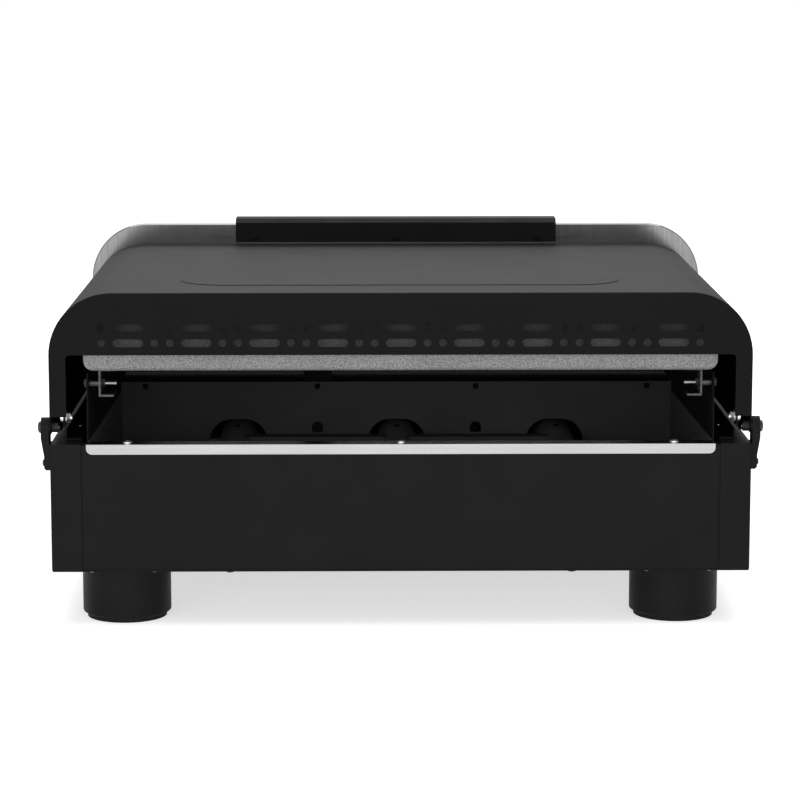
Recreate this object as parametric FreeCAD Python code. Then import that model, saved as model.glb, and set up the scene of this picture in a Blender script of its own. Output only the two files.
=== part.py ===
import FreeCAD, Part
import math
import os

# Tabletop gas griddle. Millimetres, +Z up, front towards -Y, table at Z = 0.
# X is measured from the middle, "depth" forwards from the rear face of the body.

# Body tub of folded sheet
BODY_WIDTH = 700.0
BODY_DEPTH = 560.0
BODY_HEIGHT = 129.5
SHEET = 1.5
CORNER_WRAP = 30.5
FRONT_WRAP = 20.0
DECK_WIDTH = 30.0
BOTTOM_FLANGE = 30.0
END_FLANGE = 15.0
BOTTOM_SCREW_X = 172.0
REAR_LEDGE = 20.0
SEAM = 0.5

# Stainless strip over the rear edge
TRIM = 1.2
TRIM_DROP = 10.0
TRIM_CORNER = 6.0
TRIM_END_GAP = 6.0
TRIM_SCREW_INSET = 40.5

# Feet
PAD_RADIUS = 40.5
PAD_HEIGHT = 5.0
FOOT_RADIUS = 45.0
FOOT_HEIGHT = 50.0
FOOT_EDGE = 2.0
FOOT_PLATE = 2.0
FOOT_PLATE_WIDTH = 84.0
FOOT_PLATE_LENGTH = 92.0
FOOT_SCREW_SIDE_MARGIN = 11.0
FOOT_SCREW_END_MARGIN = 6.5
FOOT_INSET = 70.0
FOOT_REAR = 60.0
FOOT_FRONT_INSET = 60.0

# Low rails on the side decks
RAIL = 1.2
RAIL_RISE = 10.0
RAIL_FOOT = 15.0
RAIL_INSET = 13.0
RAIL_REAR = 30.0
RAIL_FRONT_INSET = 10.0
RAIL_SCREW_REAR = 105.0
RAIL_SCREW_PITCH = 150.0

# Firebox between two upright support plates
SUPPORT_INSET = 36.5
SUPPORT_REAR = 22.0
SUPPORT_TOP_GAP = 4.0
SUPPORT_RAKE = 4.0
SUPPORT_FRONT_INSET = 16.0
SUPPORT_FLANGE = 15.0
LINER = 1.2
LINER_LIFT = 29.5
LINER_SLOPE = 10.0
FRONT_BAY = 49.0
FIREWALL = 1.2
FIREWALL_OVERSHOOT = 0.5
FIREWALL_SCREW_DROP = 4.5
FIREWALL_SCREW_INSET = 28.5
FIREWALL_TAB = 14.0
CUTOUT_WIDTH = 65.0
CUTOUT_HEIGHT = 50.0
ARCH_WIDTH = 12.5
ARCH_HEIGHT = 12.0
ARCH_LIFT = 10.0

# Burners
BURNER_RADIUS = 21.0
BURNER_WALL = 1.2
BURNER_PITCH = 180.0
BURNER_LIFT = 60.5
BURNER_REAR = 45.0
BURNER_SCREW_BACK = 26.0
PORT_WIDTH = 1.2
PORT_HEIGHT = 6.0
PORT_LIFT = 6.0
PORT_PITCH = 12.0
PORT_MARGIN = 18.0
BURNER_PLAY = 0.2
CROSSOVER_WIDTH = 20.0
CROSSOVER_BACK = 60.0
CROSSOVER_DROP = 12.0
CROSSOVER_SINK = 3.0
CROSSOVER_SHEET = 1.2
REST_SHEET = 2.0
REST_WIDTH = 64.0
REST_END = 40.0

# Gas train behind the control panel
MANIFOLD_SIDE = 18.0
MANIFOLD_WALL = 2.0
MANIFOLD_BACK = 38.0
MANIFOLD_END = 20.0
VALVE_RADIUS = 11.0
VALVE_FRONT_GAP = 16.0
VALVE_LENGTH = 40.0
VALVE_NECK = 7.0
VALVE_NECK_LENGTH = 4.5
ORIFICE_RADIUS = 5.0
ORIFICE_LENGTH = 14.0
VENTURI_GAP = 8.0
INLET_RADIUS = 7.9
INLET_NECK = 7.0
INLET_BORE = 5.0
INLET_PROUD = 11.0
INLET_HEX = 11.0
INLET_NUT = 8.0
INLET_CLEARANCE = 4.0

# Knobs
STEM_RADIUS = 4.0
STEM_IN_VALVE = 14.0
STEM_PLAY = 0.3
KNOB_RADIUS = 24.0
KNOB_SKIRT = 8.0
KNOB_GRIP = 14.0
KNOB_ROUND = 3.0
KNOB_LENGTH = 30.0
KNOB_GAP = 1.0
KNOB_BORE_DEPTH = 18.0
BEZEL_RADIUS = 31.0
BEZEL = 1.2
STEM_HOLE = 6.5

# Griddle pan on four brackets
GRIDDLE_LIFT = 72.0
GRIDDLE_INSET = 33.0
GRIDDLE_REAR = 18.0
GRIDDLE_FRONT_GAP = 14.0
GRIDDLE_PLATE = 5.0
GRIDDLE_WALL = 4.0
GRIDDLE_WALL_HEIGHT = 51.0
GRIDDLE_SIDE_HEIGHT = 45.0
GRIDDLE_LIP_HEIGHT = 22.0
GRIDDLE_CORNER = 10.0
BRACKET_SHEET = 2.0
BRACKET_HEIGHT = 28.0
BRACKET_BOLT_DROP = 16.0
BRACKET_LEG = 15.0
BRACKET_LENGTH = 25.0
BRACKET_OFFSET = 10.5
BRACKET_END_GAP = 3.0
BRACKET_BOLT_TAIL = 15.0

# Grease way
CHUTE_SIDE = 32.0
CHUTE_SHEET = 1.2
CHUTE_FLANGE = 5.0
CHUTE_X = 90.0
CHUTE_FRONT_GAP = 5.0
DRAIN_LENGTH = 26.0
DRAIN_WIDTH = 16.0
TRAY_WIDTH = 300.0
TRAY_LENGTH = 200.0
TRAY_HEIGHT = 22.0
TRAY_SHEET = 1.2
TRAY_GAP = 0.5
TRAY_FACE_MARGIN = 5.0
TRAY_PULL_DEPTH = 14.0
TRAY_PULL_WIDTH = 120.0
TRAY_PULL_LIP = 8.0
CHUTE_TRAY_GAP = 4.0
TRAY_RAIL_HEIGHT = 16.0
TRAY_RAIL_FOOT = 14.0

# Hood
HOOD_LENGTH = 472.0
HOOD_RISE = 152.0
HOOD_GAP = 10.0
HEM_WIDTH = 8.0
HEM_BUMPER_GAP = 2.0
HOOD_CORNER = 63.0
HOOD_SHEET = 1.2
HOOD_CAP = 6.0
HOOD_EDGE = 2.5
REAR_FACE_HEIGHT = 62.0
LEG_WIDTH = 17.0
LEG_LIFT = 28.0
OPENING_CORNER = 4.0
EMBOSS_RISE = 0.6
EMBOSS_BEVEL = 0.5
EMBOSS_INSET_X = 125.0
EMBOSS_INSET = 63.0
EMBOSS_CORNER = 48.0
VENT_COUNT = 9
VENT_PITCH = 67.7
VENT_LENGTH = 30.0
VENT_HEIGHT = 8.0
VENT_DOT = 3.9
VENT_DOT_HALF_GAP = 7.7
VENT_END_DOT = 26.5
VENT_ROW_LIFT = 12.0
VENT_ROW_PITCH = 15.0
FRONT_PLATE = 2.5
FRONT_PLATE_RISE = 23.0
FRONT_PLATE_INSET = 0.6
FRONT_PLATE_GAP = 3.0
FRONT_PLATE_BEVEL = 1.6
BUMPER_RADIUS = 8.0
BUMPER_INSET = 15.0
BUMPER_PLAY = 0.3

# Handle folded over the top of the front plate
HANDLE_WIDTH = 368.0
HANDLE_SHEET = 1.5
HANDLE_FLANGE_GAP = 1.5
HANDLE_RISE = 3.5
HANDLE_SLOPE = 7.0
HANDLE_REACH = 32.0
HANDLE_GRIP = 26.0
HANDLE_RETURN = 10.0
HANDLE_SCREW_X = 162.5
HANDLE_SCREW_LIFT = 5.0

# Hinges
PIVOT_DEPTH = 12.0
PIVOT_LIFT = 16.0
PIVOT_BOLT = 3.0
PIVOT_PLAY = 0.5
HINGE_ROUND = 12.0
BUSH_RADIUS = 6.5
BUSH_LENGTH = 6.0
SIDE_PLAY = 0.3
HINGE_SHEET = 3.0
HINGE_WIDTH = 22.0
HINGE_DROP = 42.0
HINGE_FOOT = 14.0
HINGE_FOOT_SHEET = 6.0
HINGE_LIP = 2.0
HINGE_LIP_PLAY = 1.0
HINGE_CHAMFER = 2.0
HINGE_SCREW_BITE = 5.0
HINGE_SCREW_SPREAD = 6.0
HINGE_TOP = 10.0
BOLT_HEAD_RADIUS = 6.0
BOLT_HEAD = 3.5
NUT_LENGTH = 6.5
NUT_RADIUS = 5.5
BOLT_TAIL = 1.5
WASHER = 1.2
DOUBLER_SHEET = 1.5
DOUBLER_STEP = 11.8
DOUBLER_LEG = 16.0
DOUBLER_SLOPE = 8.0
DOUBLER_TAB = 14.0
DOUBLER_LENGTH = 26.0
DOUBLER_BOLT_LIFT = 8.0
DOUBLER_BOLT_DEPTH = 22.0

# Screws
SCREW_RADIUS = 2.0
SCREW_CLEARANCE = 0.3
PAN_HEAD_RADIUS = 4.75
PAN_HEAD = 2.6
SMALL_HEAD_RADIUS = 3.4
SMALL_HEAD = 2.2
SCREW_LENGTH = 8.0
M5_RADIUS = 2.5
M5_HEAD_RADIUS = 4.6
M5_HEAD = 3.5

# Levels and positions that follow from the sizes above
HALF = BODY_WIDTH / 2
BASE = PAD_HEIGHT + FOOT_HEIGHT + FOOT_PLATE
FLOOR = BASE + SHEET
DECK = BASE + BODY_HEIGHT
FACE = BODY_DEPTH + SHEET
REAR_INNER = 2 * SHEET
DECK_INNER = HALF - DECK_WIDTH
FOOT_X = HALF - FOOT_INSET
FOOT_DEPTHS = (FOOT_REAR, BODY_DEPTH - FOOT_FRONT_INSET)
FOOT_SCREW_X = FOOT_PLATE_WIDTH / 2 - FOOT_SCREW_SIDE_MARGIN
FOOT_SCREW_DEPTH = FOOT_PLATE_LENGTH / 2 - FOOT_SCREW_END_MARGIN
TRIM_HALF = DECK_INNER - TRIM_END_GAP
TRIM_SCREW_X = TRIM_HALF - TRIM_SCREW_INSET
TRIM_SCREW_DEPTH = REAR_LEDGE / 2
SUPPORT_X = HALF - SUPPORT_INSET
GRIDDLE_FRONT = HOOD_LENGTH - GRIDDLE_FRONT_GAP
SUPPORT_FRONT = GRIDDLE_FRONT - SUPPORT_FRONT_INSET
FIREWALL_DEPTH = GRIDDLE_FRONT - FRONT_BAY
FIREWALL_SCREW_X = SUPPORT_X - FIREWALL_SCREW_INSET
LINER_FLOOR = FLOOR + LINER_LIFT
LINER_HALF = SUPPORT_X - LINER
BURNER_Z = FLOOR + BURNER_LIFT
BURNER_XS = (-BURNER_PITCH, 0.0, BURNER_PITCH)
BAY_XS = (-BURNER_PITCH / 2, BURNER_PITCH / 2)
VALVE_FRONT = BODY_DEPTH - VALVE_FRONT_GAP
VALVE_BACK = VALVE_FRONT - VALVE_LENGTH
ORIFICE_BACK = VALVE_BACK - ORIFICE_LENGTH
BURNER_FRONT = VALVE_BACK - VENTURI_GAP
BURNER_SCREW_DEPTH = FIREWALL_DEPTH - BURNER_SCREW_BACK
MANIFOLD_DEPTH = BODY_DEPTH - MANIFOLD_BACK
MANIFOLD_TOP = BURNER_Z - VALVE_RADIUS - VALVE_NECK_LENGTH
MANIFOLD_Z = MANIFOLD_TOP - MANIFOLD_SIDE / 2
MANIFOLD_RIGHT = HALF - MANIFOLD_END
MANIFOLD_LEFT = -BURNER_PITCH - MANIFOLD_END
KNOB_BACK = FACE + BEZEL + KNOB_GAP
KNOB_FRONT = KNOB_BACK + KNOB_LENGTH
STEM_FRONT = KNOB_BACK + KNOB_BORE_DEPTH
REAR_Y = KNOB_FRONT / 2
GRIDDLE_BOTTOM = DECK + GRIDDLE_LIFT
GRIDDLE_HALF = HALF - GRIDDLE_INSET
SUPPORT_TOP = GRIDDLE_BOTTOM - SUPPORT_TOP_GAP
BRACKET_X = SUPPORT_X - BRACKET_OFFSET
BRACKET_Z = GRIDDLE_BOTTOM - BRACKET_BOLT_DROP
BRACKET_DEPTHS = (
    SUPPORT_REAR + SUPPORT_RAKE + BRACKET_END_GAP + BRACKET_LENGTH / 2,
    SUPPORT_FRONT - BRACKET_END_GAP - BRACKET_LENGTH / 2,
)
CHUTE_DEPTH = GRIDDLE_FRONT - GRIDDLE_WALL - CHUTE_FRONT_GAP - CHUTE_SIDE / 2
TRAY_BOTTOM = FLOOR + TRAY_GAP
TRAY_TOP = TRAY_BOTTOM + TRAY_HEIGHT
TRAY_HALF = TRAY_WIDTH / 2
HOOD_TOP = DECK + HOOD_RISE
HOOD_FOOT = DECK + HOOD_GAP
HOOD_INNER = HALF - HOOD_SHEET
REAR_FACE_BOTTOM = HOOD_TOP - REAR_FACE_HEIGHT
PLATE_FRONT = HOOD_LENGTH + FRONT_PLATE
BUMPER_DEPTH = HOOD_LENGTH + FRONT_PLATE / 2
PLATE_TOP = HOOD_TOP + FRONT_PLATE_RISE
PLATE_BOTTOM = DECK + FRONT_PLATE_GAP
HANDLE_XS = (-HANDLE_SCREW_X, 0.0, HANDLE_SCREW_X)
PIVOT_Z = DECK + PIVOT_LIFT
BRACKET_INNER = HALF + BUSH_LENGTH
BRACKET_OUTER = BRACKET_INNER + HINGE_SHEET
DOUBLER_X = HOOD_INNER - DOUBLER_STEP
DOUBLER_BOLT_Z = PIVOT_Z + DOUBLER_BOLT_LIFT


def point(x, depth, z):
    return FreeCAD.Vector(x, REAR_Y - depth, z)


def block(x0, x1, d0, d1, z0, z1):
    return Part.makeBox(x1 - x0, d1 - d0, z1 - z0, point(x0, d1, z0))


def rod_x(radius, x0, x1, depth, z):
    return Part.makeCylinder(radius, x1 - x0, point(x0, depth, z), FreeCAD.Vector(1, 0, 0))


def rod_y(radius, d0, d1, x, z):
    return Part.makeCylinder(radius, d1 - d0, point(x, d1, z), FreeCAD.Vector(0, 1, 0))


def rod_z(radius, z0, z1, x, depth):
    return Part.makeCylinder(radius, z1 - z0, point(x, depth, z0), FreeCAD.Vector(0, 0, 1))


def fill(points):
    wire = Part.makePolygon(points + [points[0]])
    return Part.Face(wire)


def bar_x(outline, x0, x1):
    """Polygon of (depth, z) corners drawn out along X."""
    face = fill([point(x0, depth, z) for depth, z in outline])
    return face.extrude(FreeCAD.Vector(x1 - x0, 0, 0))


def bar_y(outline, d0, d1):
    """Polygon of (x, z) corners drawn out along the depth."""
    face = fill([point(x, d0, z) for x, z in outline])
    return face.extrude(FreeCAD.Vector(0, d0 - d1, 0))


def bent(path, thickness):
    """Outline of a folded sheet: the path and its copy one thickness to the left."""
    normals = []
    for (a0, b0), (a1, b1) in zip(path, path[1:]):
        run = math.hypot(a1 - a0, b1 - b0)
        normals.append(((b0 - b1) / run, (a1 - a0) / run))
    firsts = normals[:1] + normals
    seconds = normals + normals[-1:]
    copy = []
    for (a, b), (n0, n1), (m0, m1) in zip(path, firsts, seconds):
        scale = thickness / (1 + n0 * m0 + n1 * m1)
        copy.append((a + (n0 + m0) * scale, b + (n1 + m1) * scale))
    return path + copy[::-1]


def arch(half, bottom, top, radius, d0, d1):
    """Upright slab with two rounded upper corners."""
    bend = radius * (1 - math.sqrt(0.5))
    left = [point(-half, d0, bottom), point(-half, d0, top - radius)]
    peak = [point(-half + radius, d0, top), point(half - radius, d0, top)]
    right = [point(half, d0, top - radius), point(half, d0, bottom)]
    edges = [
        Part.makeLine(left[0], left[1]),
        Part.Arc(left[1], point(-half + bend, d0, top - bend), peak[0]).toShape(),
        Part.makeLine(peak[0], peak[1]),
        Part.Arc(peak[1], point(half - bend, d0, top - bend), right[0]).toShape(),
        Part.makeLine(right[0], right[1]),
        Part.makeLine(right[1], left[0]),
    ]
    return Part.Face(Part.Wire(edges)).extrude(FreeCAD.Vector(0, d0 - d1, 0))


def slot_y(width, height, d0, d1, x, z):
    """Obround lying along X, drawn out along the depth."""
    run = (width - height) / 2
    ends = [rod_y(height / 2, d0, d1, x + side * run, z) for side in (-1, 1)]
    middle = block(x - run, x + run, d0, d1, z - height / 2, z + height / 2)
    return middle.fuse(ends).removeSplitter()


def rounded_y(x0, x1, z0, z1, radius, d0, d1):
    """Slab with four rounded corners, drawn out along the depth."""
    slab = block(x0, x1, d0, d1, z0, z1)
    corners = [e for e in slab.Edges if abs(e.tangentAt(e.FirstParameter).y) > 0.9]
    return slab.makeFillet(radius, corners)


def rounded_z(x0, x1, d0, d1, radius, z0, z1):
    """Flat slab with four rounded corners."""
    slab = block(x0, x1, d0, d1, z0, z1)
    corners = [e for e in slab.Edges if abs(e.tangentAt(e.FirstParameter).z) > 0.9]
    return slab.makeFillet(radius, corners)


def hexagon_x(radius, x0, x1, depth, z):
    angles = [math.radians(60 * n) for n in range(6)]
    outline = [(depth + radius * math.cos(a), z + radius * math.sin(a)) for a in angles]
    return bar_x(outline, x0, x1)


def mirrored(shape):
    return shape.mirror(FreeCAD.Vector(0, 0, 0), FreeCAD.Vector(1, 0, 0))


def both(shape):
    return [shape, mirrored(shape)]


def group(shapes):
    return Part.makeCompound(shapes)


def domed(head, edges_at, radius):
    """Rounds the rim of a screw head that lies at the given point."""
    rims = [e for e in head.Edges if e.CenterOfMass.distanceToPoint(edges_at) < 0.01]
    return head.makeFillet(radius, rims)


def screw_down(x, depth, z, head_radius, head, length):
    """Pan-head screw whose head rests on a face at z, shank below it."""
    top = rod_z(head_radius, z, z + head, x, depth)
    top = domed(top, point(x, depth, z + head), head * 0.6)
    return top.fuse(rod_z(SCREW_RADIUS, z - length, z, x, depth))


def screw_up(x, depth, z, head_radius, head, length):
    """Pan-head screw driven upwards, head below the face at z."""
    low = rod_z(head_radius, z - head, z, x, depth)
    low = domed(low, point(x, depth, z - head), head * 0.6)
    return low.fuse(rod_z(SCREW_RADIUS, z, z + length, x, depth))


def screw_forward(x, depth, z, head_radius, head, length):
    """Pan-head screw driven towards the front, head behind the face at depth."""
    back = rod_y(head_radius, depth - head, depth, x, z)
    back = domed(back, point(x, depth - head, z), head * 0.6)
    return back.fuse(rod_y(SCREW_RADIUS, depth, depth + length, x, z))


def foot_screw_points():
    points = []
    for side in (-1, 1):
        for depth in FOOT_DEPTHS:
            for dx in (-FOOT_SCREW_X, FOOT_SCREW_X):
                for dd in (-FOOT_SCREW_DEPTH, FOOT_SCREW_DEPTH):
                    points.append((side * FOOT_X + dx, depth + dd))
    return points


def bottom_screw_points():
    """Screws through the bottom sheet into the flanges of the four walls."""
    end = END_FLANGE / 2 + SHEET
    points = []
    for side in (-1, 1):
        points.append((side * BOTTOM_SCREW_X, end))
        points.append((side * BOTTOM_SCREW_X, BODY_DEPTH - end))
        for depth in (end + BOTTOM_FLANGE, BODY_DEPTH / 2, BODY_DEPTH - end - BOTTOM_FLANGE):
            points.append((side * (HALF - BOTTOM_FLANGE / 2), depth))
    return points


def upright_holes(points, z0, z1):
    radius = SCREW_RADIUS + SCREW_CLEARANCE
    return [rod_z(radius, z0, z1, x, depth) for x, depth in points]


def rail_screw_points():
    x = HALF - RAIL_INSET - RAIL_FOOT / 2
    depths = [RAIL_SCREW_REAR + n * RAIL_SCREW_PITCH for n in range(3)]
    return [(side * x, depth) for side in (-1, 1) for depth in depths]


def hinge_screw_spots():
    z = PIVOT_Z - HINGE_DROP + HINGE_FOOT / 2
    return [(PIVOT_DEPTH + side * HINGE_SCREW_SPREAD, z) for side in (-1, 1)]


def side_panel():
    """Right-hand wall with its bottom flange, top deck and the folds round both corners."""
    path = [
        (HALF - BOTTOM_FLANGE, FLOOR),
        (HALF, FLOOR),
        (HALF, DECK),
        (DECK_INNER, DECK),
    ]
    wall = bar_y(bent(path, SHEET), 0, BODY_DEPTH)
    rear = block(HALF - CORNER_WRAP, HALF, 0, SHEET, FLOOR, DECK)
    front = block(HALF - FRONT_WRAP, HALF, BODY_DEPTH - SHEET, BODY_DEPTH, FLOOR, DECK)
    wall = wall.fuse([rear, front]).removeSplitter()
    tools = upright_holes(bottom_screw_points(), FLOOR - 1, FLOOR + SHEET + 1)
    tools += upright_holes(rail_screw_points(), DECK - SHEET - 1, DECK + 1)
    for depth, z in hinge_screw_spots():
        tools.append(rod_x(SCREW_RADIUS + SCREW_CLEARANCE, HALF - 2 * SHEET, HALF + 1, depth, z))
    return wall.cut(tools)


def right_side_panel():
    radius = INLET_RADIUS + INLET_CLEARANCE
    return side_panel().cut(rod_x(radius, HALF - 2 * SHEET, HALF + 1, MANIFOLD_DEPTH, MANIFOLD_Z))


def left_side_panel():
    return mirrored(side_panel())


def rear_panel():
    """Rear wall behind the corner folds, with a ledge for the trim and a bottom flange."""
    flange_half = DECK_INNER - SEAM
    path = [
        (SHEET + END_FLANGE, FLOOR),
        (SHEET, FLOOR),
        (SHEET, DECK - TRIM),
        (REAR_LEDGE, DECK - TRIM),
    ]
    turned = path[::-1]
    wall = bar_x(bent(turned, SHEET), -flange_half, flange_half)
    reach = HALF - SHEET - SEAM
    ends = block(-reach, reach, SHEET, REAR_INNER, FLOOR + SHEET + SEAM, DECK - SHEET - SEAM)
    wall = wall.fuse(ends).removeSplitter()
    tools = upright_holes(bottom_screw_points(), FLOOR - 1, FLOOR + SHEET + 1)
    tools += upright_holes(trim_screw_points(), DECK - TRIM - SHEET - 1, DECK)
    return wall.cut(tools)


def trim_screw_points():
    return [(x, TRIM_SCREW_DEPTH) for x in (-TRIM_SCREW_X, 0.0, TRIM_SCREW_X)]


def rear_trim_strip():
    """Stainless angle over the rear edge, lower corners rounded."""
    back = SHEET - TRIM
    leg = rounded_y(-TRIM_HALF, TRIM_HALF, DECK - TRIM_DROP, DECK + TRIM_DROP, TRIM_CORNER, back, SHEET)
    leg = leg.common(block(-TRIM_HALF, TRIM_HALF, back, SHEET, DECK - TRIM_DROP, DECK))
    flange = block(-TRIM_HALF, TRIM_HALF, back, REAR_LEDGE - SEAM, DECK - TRIM, DECK)
    strip = leg.fuse(flange).removeSplitter()
    return strip.cut(upright_holes(trim_screw_points(), DECK - TRIM - 1, DECK + 1))


def trim_screws():
    return group([
        screw_down(x, depth, DECK, PAN_HEAD_RADIUS, PAN_HEAD, SCREW_LENGTH)
        for x, depth in trim_screw_points()
    ])


def bottom_panel():
    reach = HALF - SEAM
    sheet = block(-reach, reach, SEAM, BODY_DEPTH - SEAM, BASE, FLOOR)
    points = foot_screw_points() + bottom_screw_points()
    return sheet.cut(upright_holes(points, BASE - 1, FLOOR + 1))


def bottom_screws():
    return group([
        screw_up(x, depth, BASE, PAN_HEAD_RADIUS, PAN_HEAD, SCREW_LENGTH)
        for x, depth in bottom_screw_points()
    ])


def foot(x, depth):
    """Thick round foot, both rims broken."""
    body = rod_z(FOOT_RADIUS, PAD_HEIGHT, PAD_HEIGHT + FOOT_HEIGHT, x, depth)
    rims = [e for e in body.Edges if len(e.Vertexes) == 1]
    return body.makeFillet(FOOT_EDGE, rims)


def feet():
    return group([foot(side * FOOT_X, depth) for side in (-1, 1) for depth in FOOT_DEPTHS])


def foot_pads():
    return group([
        rod_z(PAD_RADIUS, 0, PAD_HEIGHT, side * FOOT_X, depth)
        for side in (-1, 1) for depth in FOOT_DEPTHS
    ])


def foot_plates():
    plates = []
    for side in (-1, 1):
        for depth in FOOT_DEPTHS:
            x = side * FOOT_X
            wide = FOOT_PLATE_WIDTH / 2
            deep = FOOT_PLATE_LENGTH / 2
            plates.append(block(x - wide, x + wide, depth - deep, depth + deep, BASE - FOOT_PLATE, BASE))
    tools = upright_holes(foot_screw_points(), BASE - FOOT_PLATE - 1, BASE + 1)
    return group([plate.cut(tools) for plate in plates])


def foot_screws():
    return group([
        screw_up(x, depth, BASE - FOOT_PLATE, PAN_HEAD_RADIUS, PAN_HEAD, SCREW_LENGTH)
        for x, depth in foot_screw_points()
    ])


def deck_rail():
    """Low angle on the right-hand deck, just inside the hood wall."""
    path = [
        (HALF - RAIL_INSET - RAIL_FOOT, DECK),
        (HALF - RAIL_INSET, DECK),
        (HALF - RAIL_INSET, DECK + RAIL_RISE),
    ]
    rail = bar_y(bent(path, RAIL), RAIL_REAR, HOOD_LENGTH - RAIL_FRONT_INSET)
    return rail.cut(upright_holes(rail_screw_points(), DECK - 1, DECK + RAIL + 1))


def rail_screws():
    return group([
        screw_down(x, depth, DECK + RAIL, SMALL_HEAD_RADIUS, SMALL_HEAD, SCREW_LENGTH)
        for x, depth in rail_screw_points()
    ])


def control_panel():
    """Front face, the deck behind it, a fold for the firewall and a bottom flange."""
    back = FIREWALL_DEPTH + FIREWALL
    deck_half = SUPPORT_X - SEAM
    path = [(back, DECK - FIREWALL_TAB), (back, DECK), (FACE, DECK), (FACE, DECK - FIREWALL_TAB)]
    deck = bar_x(bent(path[::-1], SHEET), -deck_half, deck_half)
    face = block(-HALF, HALF, BODY_DEPTH, FACE, BASE, DECK)
    flange_half = DECK_INNER - SEAM
    flange = block(-flange_half, flange_half, BODY_DEPTH - END_FLANGE, BODY_DEPTH, FLOOR, FLOOR + SHEET)
    panel = deck.fuse([face, flange]).removeSplitter()
    gap = TRAY_HALF + 2 * TRAY_GAP
    tools = [block(-gap, gap, BODY_DEPTH - END_FLANGE - 1, FACE + 1, BASE - 1, TRAY_TOP + TRAY_GAP)]
    side = CHUTE_SIDE / 2 + SEAM
    tools.append(block(
        CHUTE_X - side, CHUTE_X + side, CHUTE_DEPTH - side, CHUTE_DEPTH + side,
        DECK - SHEET - 1, DECK + 1,
    ))
    tools += [rod_y(STEM_HOLE, BODY_DEPTH - 1, FACE + 1, x, BURNER_Z) for x in BURNER_XS]
    tools += upright_holes(bottom_screw_points(), FLOOR - 1, FLOOR + SHEET + 1)
    tools += firewall_holes()
    return panel.cut(tools)


def firewall_screw_spots():
    z = DECK - FIREWALL_SCREW_DROP
    return [(x, z) for x in (-FIREWALL_SCREW_X, *BAY_XS, FIREWALL_SCREW_X)]


def firewall_holes():
    radius = SCREW_RADIUS + SCREW_CLEARANCE
    depth = FIREWALL_DEPTH
    return [
        rod_y(radius, depth - 1, depth + FIREWALL + SHEET + 1, x, z)
        for x, z in firewall_screw_spots()
    ]


def firewall():
    """Front wall of the firebox with a cut-out for each burner and two arched holes."""
    front = FIREWALL_DEPTH + FIREWALL
    top = DECK + FIREWALL_OVERSHOOT
    reach = SUPPORT_X - SEAM
    wall = block(-reach, reach, FIREWALL_DEPTH, front, LINER_FLOOR, top)
    tools = firewall_holes()
    for x in BURNER_XS:
        tools.append(slot_y(CUTOUT_WIDTH, CUTOUT_HEIGHT, FIREWALL_DEPTH - 1, front + 1, x, BURNER_Z))
    for x in BAY_XS:
        low = BURNER_Z + ARCH_LIFT
        high = low + ARCH_HEIGHT - ARCH_WIDTH / 2
        tools.append(rod_y(ARCH_WIDTH / 2, FIREWALL_DEPTH - 1, front + 1, x, high))
        half = ARCH_WIDTH / 2
        tools.append(block(x - half, x + half, FIREWALL_DEPTH - 1, front + 1, low, high))
    return wall.cut(tools)


def firewall_screws():
    length = FIREWALL + SHEET
    return group([
        screw_forward(x, FIREWALL_DEPTH, z, SMALL_HEAD_RADIUS, SMALL_HEAD, length)
        for x, z in firewall_screw_spots()
    ])


def firebox_liner():
    """Tray-shaped liner between the support plates, side walls lower towards the front."""
    path = [
        (-SUPPORT_X, DECK),
        (-SUPPORT_X, LINER_FLOOR),
        (SUPPORT_X, LINER_FLOOR),
        (SUPPORT_X, DECK),
    ]
    tub = bar_y(bent(path, LINER), SUPPORT_REAR, FIREWALL_DEPTH)
    end = SUPPORT_REAR + LINER
    tub = tub.fuse(block(-LINER_HALF, LINER_HALF, SUPPORT_REAR, end, LINER_FLOOR, DECK - LINER_SLOPE))
    slope = [
        (SUPPORT_REAR - 1, DECK + 1),
        (SUPPORT_REAR, DECK),
        (FIREWALL_DEPTH, DECK - LINER_SLOPE),
        (FIREWALL_DEPTH + 1, DECK - LINER_SLOPE),
        (FIREWALL_DEPTH + 1, DECK + 1),
    ]
    return tub.cut(bar_x(slope, -SUPPORT_X - 1, SUPPORT_X + 1)).removeSplitter()


def support_plate():
    """Right-hand upright that carries the griddle, standing on an inward flange."""
    outer = SUPPORT_X + SHEET
    outline = [
        (SUPPORT_REAR, FLOOR),
        (SUPPORT_FRONT, FLOOR),
        (SUPPORT_FRONT, SUPPORT_TOP),
        (SUPPORT_REAR + SUPPORT_RAKE, SUPPORT_TOP),
        (SUPPORT_REAR, DECK),
    ]
    plate = bar_x(outline, SUPPORT_X, outer)
    flange = block(
        SUPPORT_X - SUPPORT_FLANGE, outer, SUPPORT_REAR, SUPPORT_FRONT, FLOOR, FLOOR + SHEET)
    plate = plate.fuse(flange).removeSplitter()
    tools = upright_holes(foot_screw_points(), FLOOR - 1, FLOOR + 2 * SHEET)
    for depth in BRACKET_DEPTHS:
        tools.append(rod_x(M5_RADIUS + SCREW_CLEARANCE, SUPPORT_X - 1, outer + 1, depth, BRACKET_Z))
    return plate.cut(tools)


def griddle_bracket(depth):
    """Right-hand U bracket, its upper leg under the griddle."""
    path = [
        (BRACKET_X - BRACKET_LEG, GRIDDLE_BOTTOM - BRACKET_HEIGHT),
        (BRACKET_X, GRIDDLE_BOTTOM - BRACKET_HEIGHT),
        (BRACKET_X, GRIDDLE_BOTTOM),
        (BRACKET_X - BRACKET_LEG, GRIDDLE_BOTTOM),
    ]
    half = BRACKET_LENGTH / 2
    bracket = bar_y(bent(path, BRACKET_SHEET), depth - half, depth + half)
    inner = BRACKET_X - BRACKET_SHEET
    return bracket.cut(rod_x(M5_RADIUS + SCREW_CLEARANCE, inner - 1, BRACKET_X + 1, depth, BRACKET_Z))


def griddle_brackets():
    return group([piece for depth in BRACKET_DEPTHS for piece in both(griddle_bracket(depth))])


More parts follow.
